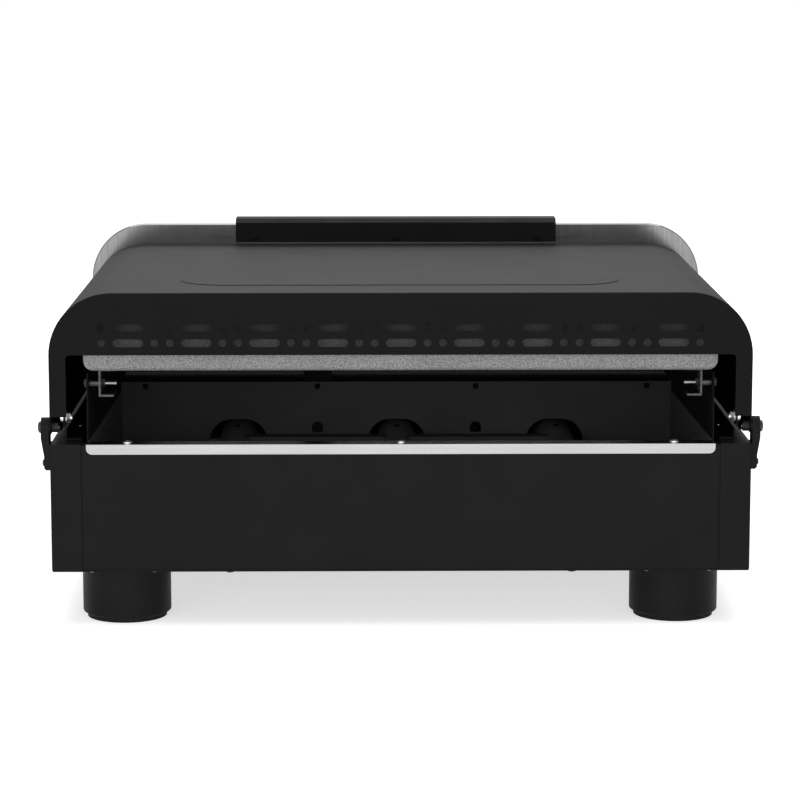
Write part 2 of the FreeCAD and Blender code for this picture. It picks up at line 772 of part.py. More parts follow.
def ring_x(outer, inner, x0, x1, depth, z):
    return rod_x(outer, x0, x1, depth, z).cut(rod_x(inner, x0 - 1, x1 + 1, depth, z))


def bracket_spacers():
    hole = M5_RADIUS + SCREW_CLEARANCE
    sleeves = [
        ring_x(2 * M5_RADIUS, hole, BRACKET_X, SUPPORT_X, depth, BRACKET_Z) for depth in BRACKET_DEPTHS
    ]
    return group([piece for sleeve in sleeves for piece in both(sleeve)])


def bracket_bolts():
    """Bolts from outside the support plates and their nuts inside the brackets."""
    outer = SUPPORT_X + SHEET
    face = BRACKET_X - BRACKET_SHEET
    pieces = []
    for depth in BRACKET_DEPTHS:
        head = hexagon_x(M5_HEAD_RADIUS, outer, outer + M5_HEAD, depth, BRACKET_Z)
        pieces += both(head.fuse(rod_x(M5_RADIUS, face - BRACKET_BOLT_TAIL, outer, depth, BRACKET_Z)))
        nut = hexagon_x(M5_HEAD_RADIUS, face - M5_HEAD, face, depth, BRACKET_Z)
        hole = rod_x(M5_RADIUS + SCREW_CLEARANCE, face - M5_HEAD - 1, face + 1, depth, BRACKET_Z)
        pieces += both(nut.cut(hole))
    return group(pieces)


def griddle_pan():
    """Thick plate with a tall rear wall, sloping side walls and a low front lip."""
    top = GRIDDLE_BOTTOM + GRIDDLE_WALL_HEIGHT
    front = GRIDDLE_FRONT - GRIDDLE_WALL
    rear = GRIDDLE_REAR + GRIDDLE_WALL
    inner = GRIDDLE_HALF - GRIDDLE_WALL
    over = top + 2 * GRIDDLE_CORNER
    tub = rounded_y(
        -GRIDDLE_HALF, GRIDDLE_HALF, GRIDDLE_BOTTOM, over, GRIDDLE_CORNER, GRIDDLE_REAR, GRIDDLE_FRONT)
    hollow = rounded_y(
        -inner, inner, GRIDDLE_BOTTOM + GRIDDLE_PLATE, over + GRIDDLE_CORNER,
        GRIDDLE_CORNER - GRIDDLE_WALL, rear, front)
    side = GRIDDLE_BOTTOM + GRIDDLE_SIDE_HEIGHT
    lip = GRIDDLE_BOTTOM + GRIDDLE_LIP_HEIGHT
    away = [
        (GRIDDLE_REAR - 1, over + 1),
        (GRIDDLE_REAR - 1, top),
        (rear, top),
        (rear + GRIDDLE_CORNER, side),
        (front - 4 * GRIDDLE_CORNER, side),
        (front, lip),
        (GRIDDLE_FRONT + 1, lip),
        (GRIDDLE_FRONT + 1, over + 1),
    ]
    pan = tub.cut([hollow, bar_x(away, -HALF, HALF)])
    long = DRAIN_LENGTH / 2
    wide = DRAIN_WIDTH / 2
    drain = block(
        CHUTE_X - long, CHUTE_X + long, CHUTE_DEPTH - wide, CHUTE_DEPTH + wide,
        GRIDDLE_BOTTOM - 1, GRIDDLE_BOTTOM + GRIDDLE_PLATE + 1,
    )
    return pan.cut(drain).removeSplitter()


def grease_chute():
    """Square tube from the drain to the tray, flanged under the griddle."""
    low = TRAY_TOP + CHUTE_TRAY_GAP
    seat = GRIDDLE_BOTTOM - CHUTE_SHEET
    out = CHUTE_SIDE / 2
    hole = out - CHUTE_SHEET
    rim = out + CHUTE_FLANGE
    tube = block(CHUTE_X - out, CHUTE_X + out, CHUTE_DEPTH - out, CHUTE_DEPTH + out, low, seat)
    flange = block(CHUTE_X - rim, CHUTE_X + rim, CHUTE_DEPTH - rim, CHUTE_DEPTH + rim, seat, GRIDDLE_BOTTOM)
    bore = block(
        CHUTE_X - hole, CHUTE_X + hole, CHUTE_DEPTH - hole, CHUTE_DEPTH + hole, low - 1, GRIDDLE_BOTTOM + 1)
    return tube.fuse(flange).cut(bore)


def grease_tray():
    """Shallow drawer with a face over its slot in the control panel and a folded pull."""
    back = BODY_DEPTH - TRAY_LENGTH
    tub = block(-TRAY_HALF, TRAY_HALF, back, FACE, TRAY_BOTTOM, TRAY_TOP)
    inner = TRAY_HALF - TRAY_SHEET
    tub = tub.cut(block(-inner, inner, back + TRAY_SHEET, FACE, TRAY_BOTTOM + TRAY_SHEET, TRAY_TOP + 1))
    reach = TRAY_HALF + TRAY_FACE_MARGIN
    front = FACE + TRAY_SHEET
    face = block(-reach, reach, FACE, front, BASE, TRAY_TOP + TRAY_FACE_MARGIN)
    path = [(front, BASE), (front + TRAY_PULL_DEPTH, BASE), (front + TRAY_PULL_DEPTH, BASE + TRAY_PULL_LIP)]
    pull = bar_x(bent(path, TRAY_SHEET), -TRAY_PULL_WIDTH / 2, TRAY_PULL_WIDTH / 2)
    return tub.fuse([face, pull]).removeSplitter()


def tray_rails():
    x = TRAY_HALF + TRAY_GAP
    path = [(x, FLOOR + TRAY_RAIL_HEIGHT), (x, FLOOR), (x + TRAY_RAIL_FOOT, FLOOR)]
    back = BODY_DEPTH - TRAY_LENGTH
    return group(both(bar_y(bent(path, TRAY_SHEET), back, BODY_DEPTH - END_FLANGE - SEAM)))


def burner_ports(x):
    """Narrow slits in both flanks of a burner, clear of the cross-overs."""
    low = BURNER_Z + PORT_LIFT
    reach = BURNER_RADIUS + 1
    first = BURNER_REAR + PORT_MARGIN
    last = FIREWALL_DEPTH - CROSSOVER_BACK - CROSSOVER_WIDTH - PORT_MARGIN
    count = int((last - first) / PORT_PITCH) + 1
    depths = [first + n * PORT_PITCH for n in range(count)]
    return [block(x - reach, x + reach, d, d + PORT_WIDTH, low, low + PORT_HEIGHT) for d in depths]


def burner(x):
    """Tube burner, closed at the rear, open towards its gas jet."""
    tube = rod_y(BURNER_RADIUS, BURNER_REAR, BURNER_FRONT, x, BURNER_Z)
    inside = BURNER_RADIUS - BURNER_WALL
    tube = tube.cut(rod_y(inside, BURNER_REAR + BURNER_WALL, BURNER_FRONT + 1, x, BURNER_Z))
    tools = upright_holes([(x, BURNER_SCREW_DEPTH)], BURNER_Z, BURNER_Z + BURNER_RADIUS + 1)
    return tube.cut(tools + burner_ports(x))


def burner_screws():
    top = BURNER_Z + BURNER_RADIUS
    return group([
        screw_down(x, BURNER_SCREW_DEPTH, top, SMALL_HEAD_RADIUS, SMALL_HEAD, SCREW_LENGTH)
        for x in BURNER_XS
    ])


def burner_room(x):
    return rod_y(BURNER_RADIUS + BURNER_PLAY, BURNER_REAR, BURNER_FRONT, x, BURNER_Z)


def burner_rests():
    """Two saddles under each burner, standing on the liner floor."""
    rests = []
    for x in BURNER_XS:
        for depth in (BURNER_REAR + REST_END, FIREWALL_DEPTH - REST_END):
            half = REST_WIDTH / 2
            plate = block(
                x - half, x + half, depth, depth + REST_SHEET, LINER_FLOOR + LINER, BURNER_Z)
            rests.append(plate.cut(burner_room(x)))
    return group(rests)


def crossover():
    """Inverted channel that carries the flame from the middle to the right-hand burner."""
    front = FIREWALL_DEPTH - CROSSOVER_BACK
    back = front - CROSSOVER_WIDTH
    top = BURNER_Z + BURNER_RADIUS - CROSSOVER_SINK
    low = top - CROSSOVER_DROP
    path = [(front, low), (front, top), (back, top), (back, low)]
    channel = bar_x(bent(path, CROSSOVER_SHEET), 0, BURNER_PITCH)
    return channel.cut([burner_room(0), burner_room(BURNER_PITCH)])


def gas_manifold():
    half = MANIFOLD_SIDE / 2
    void = half - MANIFOLD_WALL
    tube = block(
        MANIFOLD_LEFT, MANIFOLD_RIGHT, MANIFOLD_DEPTH - half, MANIFOLD_DEPTH + half,
        MANIFOLD_Z - half, MANIFOLD_Z + half,
    )
    inside = block(
        MANIFOLD_LEFT + MANIFOLD_WALL, MANIFOLD_RIGHT + 1, MANIFOLD_DEPTH - void, MANIFOLD_DEPTH + void,
        MANIFOLD_Z - void, MANIFOLD_Z + void,
    )
    return tube.cut(inside)


def manifold_brackets():
    back = MANIFOLD_DEPTH - MANIFOLD_SIDE / 2
    path = [(back, MANIFOLD_TOP), (BODY_DEPTH, MANIFOLD_TOP), (BODY_DEPTH, MANIFOLD_TOP + MANIFOLD_SIDE)]
    outline = bent(path, SHEET)
    half = MANIFOLD_SIDE / 2
    return group([bar_x(outline, x - half, x + half) for x in BAY_XS])


def valve(x):
    """Tap body standing on the manifold, bored for its stem."""
    body = rod_y(VALVE_RADIUS, VALVE_BACK, VALVE_FRONT, x, BURNER_Z)
    body = body.fuse(rod_z(VALVE_NECK, MANIFOLD_TOP, BURNER_Z, x, MANIFOLD_DEPTH))
    back = VALVE_FRONT - STEM_IN_VALVE - SEAM
    return body.cut(rod_y(STEM_RADIUS + STEM_PLAY, back, VALVE_FRONT + 1, x, BURNER_Z))


def gas_jets():
    return group([rod_y(ORIFICE_RADIUS, ORIFICE_BACK, VALVE_BACK, x, BURNER_Z) for x in BURNER_XS])


def gas_inlet():
    """Hose fitting screwed to the right-hand end of the manifold."""
    nut_end = MANIFOLD_RIGHT + INLET_NUT
    nut = hexagon_x(INLET_HEX, MANIFOLD_RIGHT, nut_end, MANIFOLD_DEPTH, MANIFOLD_Z)
    neck = rod_x(INLET_NECK, MANIFOLD_RIGHT, HALF, MANIFOLD_DEPTH, MANIFOLD_Z)
    tail = rod_x(INLET_RADIUS, HALF, HALF + INLET_PROUD, MANIFOLD_DEPTH, MANIFOLD_Z)
    bore = rod_x(INLET_BORE, MANIFOLD_RIGHT - 1, HALF + INLET_PROUD + 1, MANIFOLD_DEPTH, MANIFOLD_Z)
    return nut.fuse([neck, tail]).cut(bore)


def knob_bezels():
    return group([
        rod_y(BEZEL_RADIUS, FACE, FACE + BEZEL, x, BURNER_Z).cut(
            rod_y(STEM_HOLE, FACE - 1, FACE + BEZEL + 1, x, BURNER_Z))
        for x in BURNER_XS
    ])


def stem(x):
    return rod_y(STEM_RADIUS, VALVE_FRONT - STEM_IN_VALVE, STEM_FRONT, x, BURNER_Z)


def knob(x):
    """Round skirt with a bar grip across it."""
    skirt = rod_y(KNOB_RADIUS, KNOB_BACK, KNOB_BACK + KNOB_SKIRT, x, BURNER_Z)
    skirt = domed(skirt, point(x, KNOB_BACK + KNOB_SKIRT, BURNER_Z), KNOB_ROUND)
    half = KNOB_GRIP / 2
    tall = KNOB_RADIUS
    grip = block(x - half, x + half, KNOB_BACK, KNOB_FRONT, BURNER_Z - tall, BURNER_Z + tall)
    grip = grip.common(rod_y(KNOB_RADIUS - KNOB_ROUND, KNOB_BACK, KNOB_FRONT, x, BURNER_Z))
    front = [e for e in grip.Edges if abs(e.CenterOfMass.y - (REAR_Y - KNOB_FRONT)) < 0.01]
    grip = grip.makeFillet(KNOB_ROUND / 2, front)
    bore = rod_y(STEM_RADIUS + STEM_PLAY, KNOB_BACK - 1, STEM_FRONT, x, BURNER_Z)
    return skirt.fuse(grip).cut(bore)


def hinge_relief():
    """Clears the lower rear corner of the hood so that it can swing about the pivot."""
    corner = block(-HALF - 1, HALF + 1, -1, PIVOT_DEPTH, HOOD_FOOT - 1, PIVOT_Z)
    return corner.cut(rod_x(HINGE_ROUND, -HALF - 2, HALF + 2, PIVOT_DEPTH, PIVOT_Z))


def vents():
    """Two rows of obround slots with a pair of round holes between neighbours."""
    slots = [(n - (VENT_COUNT - 1) / 2) * VENT_PITCH for n in range(VENT_COUNT)]
    gaps = [(a + b) / 2 for a, b in zip(slots, slots[1:])]
    dots = [slots[0] - VENT_END_DOT, slots[-1] + VENT_END_DOT]
    for x in gaps:
        dots += [x - VENT_DOT_HALF_GAP, x + VENT_DOT_HALF_GAP]
    tools = []
    for row in range(2):
        z = REAR_FACE_BOTTOM + VENT_ROW_LIFT + row * VENT_ROW_PITCH
        tools += [slot_y(VENT_LENGTH, VENT_HEIGHT, -1, HOOD_SHEET + 1, x, z) for x in slots]
        tools += [rod_y(VENT_DOT, -1, HOOD_SHEET + 1, x, z) for x in dots]
    return tools


def hood_rear_panel():
    """Pressed rear face of the hood with rounded rim, vents and two legs beside the opening."""
    slab = arch(HALF, HOOD_FOOT, HOOD_TOP, HOOD_CORNER, 0, HOOD_CAP)
    rim = []
    for edge in slab.Edges:
        flat = all(abs(v.Y - REAR_Y) < 0.01 for v in edge.Vertexes)
        if flat and edge.CenterOfMass.z > HOOD_FOOT + 1:
            rim.append(edge)
    slab = slab.makeFillet(HOOD_EDGE, rim)
    inner_top = HOOD_TOP - HOOD_SHEET
    inner_corner = HOOD_CORNER - HOOD_SHEET
    hollow = arch(HOOD_INNER, HOOD_FOOT - 1, inner_top, inner_corner, HOOD_SHEET, HOOD_CAP + 1)
    opening_half = HALF - LEG_WIDTH
    opening = rounded_y(
        -opening_half, opening_half, BASE, REAR_FACE_BOTTOM, OPENING_CORNER, -1, HOOD_SHEET + 1)
    leg_end = block(-HOOD_INNER, HOOD_INNER, -1, HOOD_SHEET + 1, BASE, DECK + LEG_LIFT)
    return slab.cut([hollow, opening, leg_end, hinge_relief()]).cut(vents())


def hood_hem():
    """Foot of the right-hand side wall, folded inwards in front of the pivot."""
    inner = HOOD_INNER - HEM_WIDTH
    rear = PIVOT_DEPTH + HINGE_ROUND
    front = BUMPER_DEPTH - BUMPER_RADIUS - HEM_BUMPER_GAP
    return block(inner, HOOD_INNER, rear, front, HOOD_FOOT, HOOD_FOOT + HOOD_SHEET)


def hood_shell():
    """Rolled top and hemmed side walls of the hood, with a low raised panel in the top."""
    outer = arch(HALF, HOOD_FOOT, HOOD_TOP, HOOD_CORNER, HOOD_CAP, HOOD_LENGTH)
    inner_top = HOOD_TOP - HOOD_SHEET
    inner_corner = HOOD_CORNER - HOOD_SHEET
    hollow = arch(HOOD_INNER, HOOD_FOOT - 1, inner_top, inner_corner, HOOD_CAP - 1, HOOD_LENGTH + 1)
    half = HALF - EMBOSS_INSET_X
    raised = rounded_z(
        -half, half, EMBOSS_INSET, HOOD_LENGTH - EMBOSS_INSET, EMBOSS_CORNER,
        HOOD_TOP - HOOD_SHEET / 2, HOOD_TOP + EMBOSS_RISE)
    upper = [e for e in raised.Edges if abs(e.CenterOfMass.z - HOOD_TOP - EMBOSS_RISE) < 0.01]
    raised = raised.makeChamfer(EMBOSS_BEVEL, upper)
    shell = outer.cut(hollow).fuse([raised] + both(hood_hem()))
    pivot = rod_x(PIVOT_BOLT + PIVOT_PLAY, -HALF - 1, HALF + 1, PIVOT_DEPTH, PIVOT_Z)
    return shell.cut([pivot, hinge_relief()])


def handle_holes():
    radius = SCREW_RADIUS + SCREW_CLEARANCE
    z = HOOD_TOP + HANDLE_FLANGE_GAP + HANDLE_SCREW_LIFT
    back = HOOD_LENGTH - HANDLE_SHEET
    return [rod_y(radius, back - 1, PLATE_FRONT + 1, x, z) for x in HANDLE_XS]


def hood_front_plate():
    """Upright plate with rounded upper corners and a bevel round its rear face."""
    half = HALF - FRONT_PLATE_INSET
    plate = arch(half, PLATE_BOTTOM, PLATE_TOP, HOOD_CORNER, HOOD_LENGTH, PLATE_FRONT)
    rim = []
    for edge in plate.Edges:
        back = all(abs(v.Y - REAR_Y + HOOD_LENGTH) < 0.01 for v in edge.Vertexes)
        if back and edge.CenterOfMass.z > PLATE_BOTTOM + 1:
            rim.append(edge)
    return plate.makeChamfer(FRONT_PLATE_BEVEL, rim).cut(handle_holes())


def hood_handle():
    """Folded sheet: flange behind the plate, over its top edge and down to a grip."""
    top = PLATE_TOP + HANDLE_RISE
    front = HOOD_LENGTH + HANDLE_REACH
    path = [
        (HOOD_LENGTH, HOOD_TOP + HANDLE_FLANGE_GAP),
        (HOOD_LENGTH, PLATE_TOP),
        (HOOD_LENGTH + HANDLE_SLOPE, top),
        (front, top),
        (front, top - HANDLE_GRIP),
        (front - HANDLE_RETURN, top - HANDLE_GRIP - HANDLE_RETURN / 2),
    ]
    handle = bar_x(bent(path, HANDLE_SHEET), -HANDLE_WIDTH / 2, HANDLE_WIDTH / 2)
    return handle.cut(handle_holes())


def handle_screws():
    back = HOOD_LENGTH - HANDLE_SHEET
    z = HOOD_TOP + HANDLE_FLANGE_GAP + HANDLE_SCREW_LIFT
    length = HANDLE_SHEET + FRONT_PLATE
    return group([screw_forward(x, back, z, SMALL_HEAD_RADIUS, SMALL_HEAD, length) for x in HANDLE_XS])


def hood_bumpers():
    x = HALF - BUMPER_INSET
    return group(both(rod_z(BUMPER_RADIUS, DECK, PLATE_BOTTOM - BUMPER_PLAY, x, BUMPER_DEPTH)))


def lever_side(inset):
    """Side view of the hinge lever, drawn in by an inset: round at the pivot, wider at the foot."""
    top = HINGE_TOP - inset
    half = HINGE_WIDTH / 2 - inset
    low = PIVOT_Z - HINGE_DROP + inset
    outline = [
        (PIVOT_DEPTH - top, PIVOT_Z),
        (PIVOT_DEPTH - half, low),
        (PIVOT_DEPTH + half, low),
        (PIVOT_DEPTH + top, PIVOT_Z),
    ]
    outer = BRACKET_OUTER + 1
    return bar_x(outline, HALF - 1, outer).fuse(rod_x(top, HALF - 1, outer, PIVOT_DEPTH, PIVOT_Z))


def hinge_bracket():
    """Right-hand cast lever: solid foot on the body side, hollow-backed web out to the pivot."""
    top = PIVOT_Z + HINGE_TOP
    low = PIVOT_Z - HINGE_DROP
    step = low + HINGE_FOOT
    eye = PIVOT_Z - HINGE_TOP
    seat = HALF + HINGE_FOOT_SHEET
    rear = PIVOT_DEPTH - HINGE_WIDTH / 2
    front = PIVOT_DEPTH + HINGE_WIDTH / 2
    solid = [
        (HALF, low),
        (seat - HINGE_CHAMFER, low),
        (seat, low + HINGE_CHAMFER),
        (seat, step),
        (BRACKET_OUTER, eye),
        (BRACKET_OUTER, top),
        (HALF, top),
    ]
    hollow = [
        (HALF - 1, step),
        (seat - HINGE_SHEET, step),
        (BRACKET_INNER, eye),
        (BRACKET_INNER, top),
        (HALF - 1, top),
    ]
    tools = [bar_y(hollow, rear, front).common(lever_side(HINGE_LIP))]
    tools.append(block(HALF - 1, HALF + HINGE_LIP_PLAY, rear - 1, front + 1, DECK, top + 1))
    tools.append(rod_x(PIVOT_BOLT + SCREW_CLEARANCE, HALF - 1, BRACKET_OUTER + 1, PIVOT_DEPTH, PIVOT_Z))
    for depth, z in hinge_screw_spots():
        tools.append(rod_x(SCREW_RADIUS + SCREW_CLEARANCE, HALF - 1, seat + 1, depth, z))
    return bar_y(solid, rear, front).common(lever_side(0)).cut(tools)


def hinge_screws():
    seat = HALF + HINGE_FOOT_SHEET
    screws = []
    for depth, z in hinge_screw_spots():
        head = rod_x(SMALL_HEAD_RADIUS, seat, seat + SMALL_HEAD, depth, z)
        head = domed(head, point(seat + SMALL_HEAD, depth, z), SMALL_HEAD * 0.6)
        screws += both(head.fuse(rod_x(SCREW_RADIUS, HALF - HINGE_SCREW_BITE, seat, depth, z)))
    return group(screws)


def pivot_bolts():
    """Domed bolts through bracket, bush and hood wall, and the nuts inside the hood."""
    tail = HOOD_INNER - SIDE_PLAY - NUT_LENGTH - BOLT_TAIL
    end = BRACKET_OUTER + BOLT_HEAD
    head = rod_x(BOLT_HEAD_RADIUS, BRACKET_OUTER, end, PIVOT_DEPTH, PIVOT_Z)
    head = domed(head, point(end, PIVOT_DEPTH, PIVOT_Z), BOLT_HEAD * 0.8)
    bolt = head.fuse(rod_x(PIVOT_BOLT, tail, BRACKET_OUTER, PIVOT_DEPTH, PIVOT_Z))
    face = HOOD_INNER - SIDE_PLAY
    nut = hexagon_x(NUT_RADIUS, face - NUT_LENGTH, face, PIVOT_DEPTH, PIVOT_Z)
    hole = rod_x(PIVOT_BOLT + SCREW_CLEARANCE, face - NUT_LENGTH - 1, face + 1, PIVOT_DEPTH, PIVOT_Z)
    return group(both(bolt) + both(nut.cut(hole)))


def hinge_bushes():
    hole = PIVOT_BOLT + SCREW_CLEARANCE
    bush = ring_x(BUSH_RADIUS, hole, HALF + SIDE_PLAY, BRACKET_INNER, PIVOT_DEPTH, PIVOT_Z)
    return group(both(bush))


def hood_doubler():
    """Right-hand stiffener inside the hood wall, stepped inwards over the pivot nut."""
    step = PIVOT_Z + DOUBLER_LEG
    tab = step + DOUBLER_SLOPE
    path = [(DOUBLER_X, PIVOT_Z), (DOUBLER_X, step), (HOOD_INNER, tab), (HOOD_INNER, tab + DOUBLER_TAB)]
    rear = DOUBLER_BOLT_DEPTH - DOUBLER_LENGTH / 2
    plate = bar_y(bent(path, DOUBLER_SHEET), rear, rear + DOUBLER_LENGTH)
    hole = PIVOT_BOLT + SCREW_CLEARANCE
    behind = DOUBLER_X - 3 * DOUBLER_SHEET
    return plate.cut(rod_x(hole, behind, DOUBLER_X + 1, DOUBLER_BOLT_DEPTH, DOUBLER_BOLT_Z))


def doubler_bolts():
    """Bolt, washer and nut through each stiffener."""
    tail = DOUBLER_X - DOUBLER_SHEET - WASHER - NUT_LENGTH + BOLT_TAIL
    shank = rod_x(PIVOT_BOLT, tail, DOUBLER_X, DOUBLER_BOLT_DEPTH, DOUBLER_BOLT_Z)
    end = DOUBLER_X + BOLT_HEAD
    head = rod_x(BOLT_HEAD_RADIUS, DOUBLER_X, end, DOUBLER_BOLT_DEPTH, DOUBLER_BOLT_Z)
    hole = PIVOT_BOLT + SCREW_CLEARANCE
    face = DOUBLER_X - DOUBLER_SHEET
    washer = ring_x(BUSH_RADIUS, hole, face - WASHER, face, DOUBLER_BOLT_DEPTH, DOUBLER_BOLT_Z)
    seat = face - WASHER
    back = seat - NUT_LENGTH + 2 * BOLT_TAIL
    nut = hexagon_x(NUT_RADIUS, back, seat, DOUBLER_BOLT_DEPTH, DOUBLER_BOLT_Z)
    nut = nut.cut(rod_x(hole, back - 1, seat + 1, DOUBLER_BOLT_DEPTH, DOUBLER_BOLT_Z))
    return group(both(head.fuse(shank)) + both(washer) + both(nut))


def sided(name, right):
    """A right-hand piece and its mirror image, as two nodes."""
    return {name + "_right": right, name + "_left": mirrored(right)}


def burner_sets():
    nodes = {}
    for side, x in zip(("left", "center", "right"), BURNER_XS):
        nodes["burner_" + side] = burner(x)
        nodes["valve_" + side] = valve(x)
        nodes["stem_" + side] = stem(x)
        nodes["knob_" + side] = knob(x)
    return nodes


def all_nodes():
    nodes = {
        "side_panel_left": left_side_panel(),
        "side_panel_right": right_side_panel(),
        "rear_panel": rear_panel(),
        "rear_trim_strip": rear_trim_strip(),
        "trim_screws": trim_screws(),
        "bottom_panel": bottom_panel(),
        "bottom_screws": bottom_screws(),
        "feet": feet(),
        "foot_pads": foot_pads(),
        "foot_plates": foot_plates(),
        "foot_screws": foot_screws(),
        "rail_screws": rail_screws(),
        "control_panel": control_panel(),
        "firewall": firewall(),
        "firewall_screws": firewall_screws(),
        "firebox_liner": firebox_liner(),
        "griddle_brackets": griddle_brackets(),
        "bracket_spacers": bracket_spacers(),
        "bracket_bolts": bracket_bolts(),
        "griddle_pan": griddle_pan(),
        "grease_chute": grease_chute(),
        "grease_tray": grease_tray(),
        "tray_rails": tray_rails(),
        "burner_screws": burner_screws(),
        "burner_rests": burner_rests(),
        "crossovers": group(both(crossover())),
        "gas_manifold": gas_manifold(),
        "manifold_brackets": manifold_brackets(),
        "gas_jets": gas_jets(),
        "gas_inlet": gas_inlet(),
        "knob_bezels": knob_bezels(),
        "hood_rear_panel": hood_rear_panel(),
        "hood_shell": hood_shell(),
        "hood_front_plate": hood_front_plate(),
        "hood_handle": hood_handle(),
        "handle_screws": handle_screws(),
        "hood_bumpers": hood_bumpers(),
        "hinge_screws": hinge_screws(),
        "pivot_bolts": pivot_bolts(),
        "hinge_bushes": hinge_bushes(),
        "hood_doublers": group(both(hood_doubler())),
        "doubler_bolts": doubler_bolts(),
    }
    nodes.update(burner_sets())
    nodes.update(sided("deck_rail", deck_rail()))
    nodes.update(sided("support_plate", support_plate()))
    nodes.update(sided("hinge_bracket", hinge_bracket()))
    return nodes


os.makedirs("parts", exist_ok=True)
for node, shape in all_nodes().items():
    shape.exportStep("parts/%s.step" % node)
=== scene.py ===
import math

import bmesh
import bpy
import numpy as np
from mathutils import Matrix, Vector


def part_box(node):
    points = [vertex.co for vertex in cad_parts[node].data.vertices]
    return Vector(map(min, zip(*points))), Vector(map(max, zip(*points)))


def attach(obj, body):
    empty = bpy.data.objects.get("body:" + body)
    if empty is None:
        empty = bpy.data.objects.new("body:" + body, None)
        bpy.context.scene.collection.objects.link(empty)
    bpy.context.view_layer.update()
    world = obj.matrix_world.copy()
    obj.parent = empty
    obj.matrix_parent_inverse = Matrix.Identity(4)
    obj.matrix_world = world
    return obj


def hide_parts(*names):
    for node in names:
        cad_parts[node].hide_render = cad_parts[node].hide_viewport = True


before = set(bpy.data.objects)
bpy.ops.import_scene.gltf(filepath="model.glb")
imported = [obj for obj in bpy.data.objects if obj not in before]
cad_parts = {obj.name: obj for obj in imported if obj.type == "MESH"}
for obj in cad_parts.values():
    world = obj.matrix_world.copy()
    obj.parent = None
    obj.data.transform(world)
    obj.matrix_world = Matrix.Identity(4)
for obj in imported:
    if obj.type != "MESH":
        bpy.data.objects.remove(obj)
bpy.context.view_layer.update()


# Body tub: side panels, rear panel and bottom sheet, folded from thin steel sheet and screwed together.
# All are sprayed with satin black powder and baked, which leaves a fine orange-peel skin.
# The side panels wrap round the rear corners, where two upright seams show.
def open_finish(name, metallic=0.0, specular=0.5):
    """New material: one principled shader with the constant values on its own sockets."""
    material = bpy.data.materials.new(name)
    material.use_nodes = True
    shader = material.node_tree.nodes["Principled BSDF"]
    shader.inputs["Metallic"].default_value = metallic
    shader.inputs["Specular IOR Level"].default_value = specular
    return material, shader


def place(material, stretch=(1, 1, 1), shift=(0, 0, 0)):
    """Object coordinates in metres, stretched and then moved by shift."""
    nodes, links = material.node_tree.nodes, material.node_tree.links
    coords = nodes.new("ShaderNodeTexCoord")
    mapping = nodes.new("ShaderNodeMapping")
    mapping.inputs["Location"].default_value = shift
    mapping.inputs["Scale"].default_value = stretch
    links.new(coords.outputs["Object"], mapping.inputs["Vector"])
    return mapping.outputs["Vector"]


def along(material, axis, shift=(0, 0, 0)):
    """One object coordinate, in metres."""
    parts = material.node_tree.nodes.new("ShaderNodeSeparateXYZ")
    material.node_tree.links.new(place(material, shift=shift), parts.inputs["Vector"])
    return parts.outputs[axis]


def grain(material, vector, scale, detail=3.0, rough=0.55):
    """Smooth random field, scale cells to the metre."""
    node = material.node_tree.nodes.new("ShaderNodeTexNoise")
    node.inputs["Scale"].default_value = scale
    node.inputs["Detail"].default_value = detail
    node.inputs["Roughness"].default_value = rough
    material.node_tree.links.new(vector, node.inputs["Vector"])
    return node.outputs["Fac"]


def tint(material, field, stops):
    """Grey levels or colours picked by a field, from stops of (position, value)."""
    node = material.node_tree.nodes.new("ShaderNodeValToRGB")
    ramp = node.color_ramp
    while len(ramp.elements) < len(stops):
        ramp.elements.new(0.5)
    for element, (position, colour) in zip(ramp.elements, stops):
        element.position = position
        element.color = (*colour, 1) if isinstance(colour, tuple) else (colour, colour, colour, 1)
    material.node_tree.links.new(field, node.inputs["Fac"])
    return node.outputs["Color"]


def span(material, field, low, high, start=0.3, end=0.7):
    """Field from start to end spread over low to high."""
    node = material.node_tree.nodes.new("ShaderNodeMapRange")
    node.inputs["From Min"].default_value = start
    node.inputs["From Max"].default_value = end
    node.inputs["To Min"].default_value = low
    node.inputs["To Max"].default_value = high
    material.node_tree.links.new(field, node.inputs["Value"])
    return node.outputs["Result"]


def relief(material, height, strength, depth, under=None):
    """Bump of the given depth in metres, laid over an earlier bump if there is one."""
    node = material.node_tree.nodes.new("ShaderNodeBump")
    node.inputs["Strength"].default_value = strength
    node.inputs["Distance"].default_value = depth
    material.node_tree.links.new(height, node.inputs["Height"])
    if under:
        material.node_tree.links.new(under, node.inputs["Normal"])
    return node.outputs["Normal"]


def wire(material, shader, colour, roughness, normal):
    """Joins the three fields of a finish to the shader."""
    for name, output in (("Base Color", colour), ("Roughness", roughness), ("Normal", normal)):
        material.node_tree.links.new(output, shader.inputs[name])
    return material


def powder_coat(name, dark, light, smooth, rough, peel, specular):
    """Black coat: slow mottling in colour and gloss, and orange peel under a millimetre across."""
    material, shader = open_finish(name, specular=specular)
    spot = place(material)
    skin = relief(material, grain(material, spot, peel, detail=2.0), strength=0.22, depth=0.00012)
    waves = grain(material, spot, scale=160.0, detail=1.0)
    return wire(
        material, shader,
        colour=tint(material, grain(material, spot, scale=7.0), [(0.35, dark), (0.65, light)]),
        roughness=span(material, grain(material, spot, scale=18.0), smooth, rough),
        normal=relief(material, waves, strength=0.10, depth=0.0003, under=skin),
    )


def dress(material, *names):
    """Gives CAD nodes a finish."""
    for name in names:
        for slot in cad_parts[name].material_slots:
            slot.material = material


body_coat = powder_coat(
    "satin_black_powder", dark=0.0055, light=0.0070, smooth=0.52, rough=0.58, peel=1300, specular=0.09)
dress(body_coat, "side_panel_left", "side_panel_right", "rear_panel", "bottom_panel")


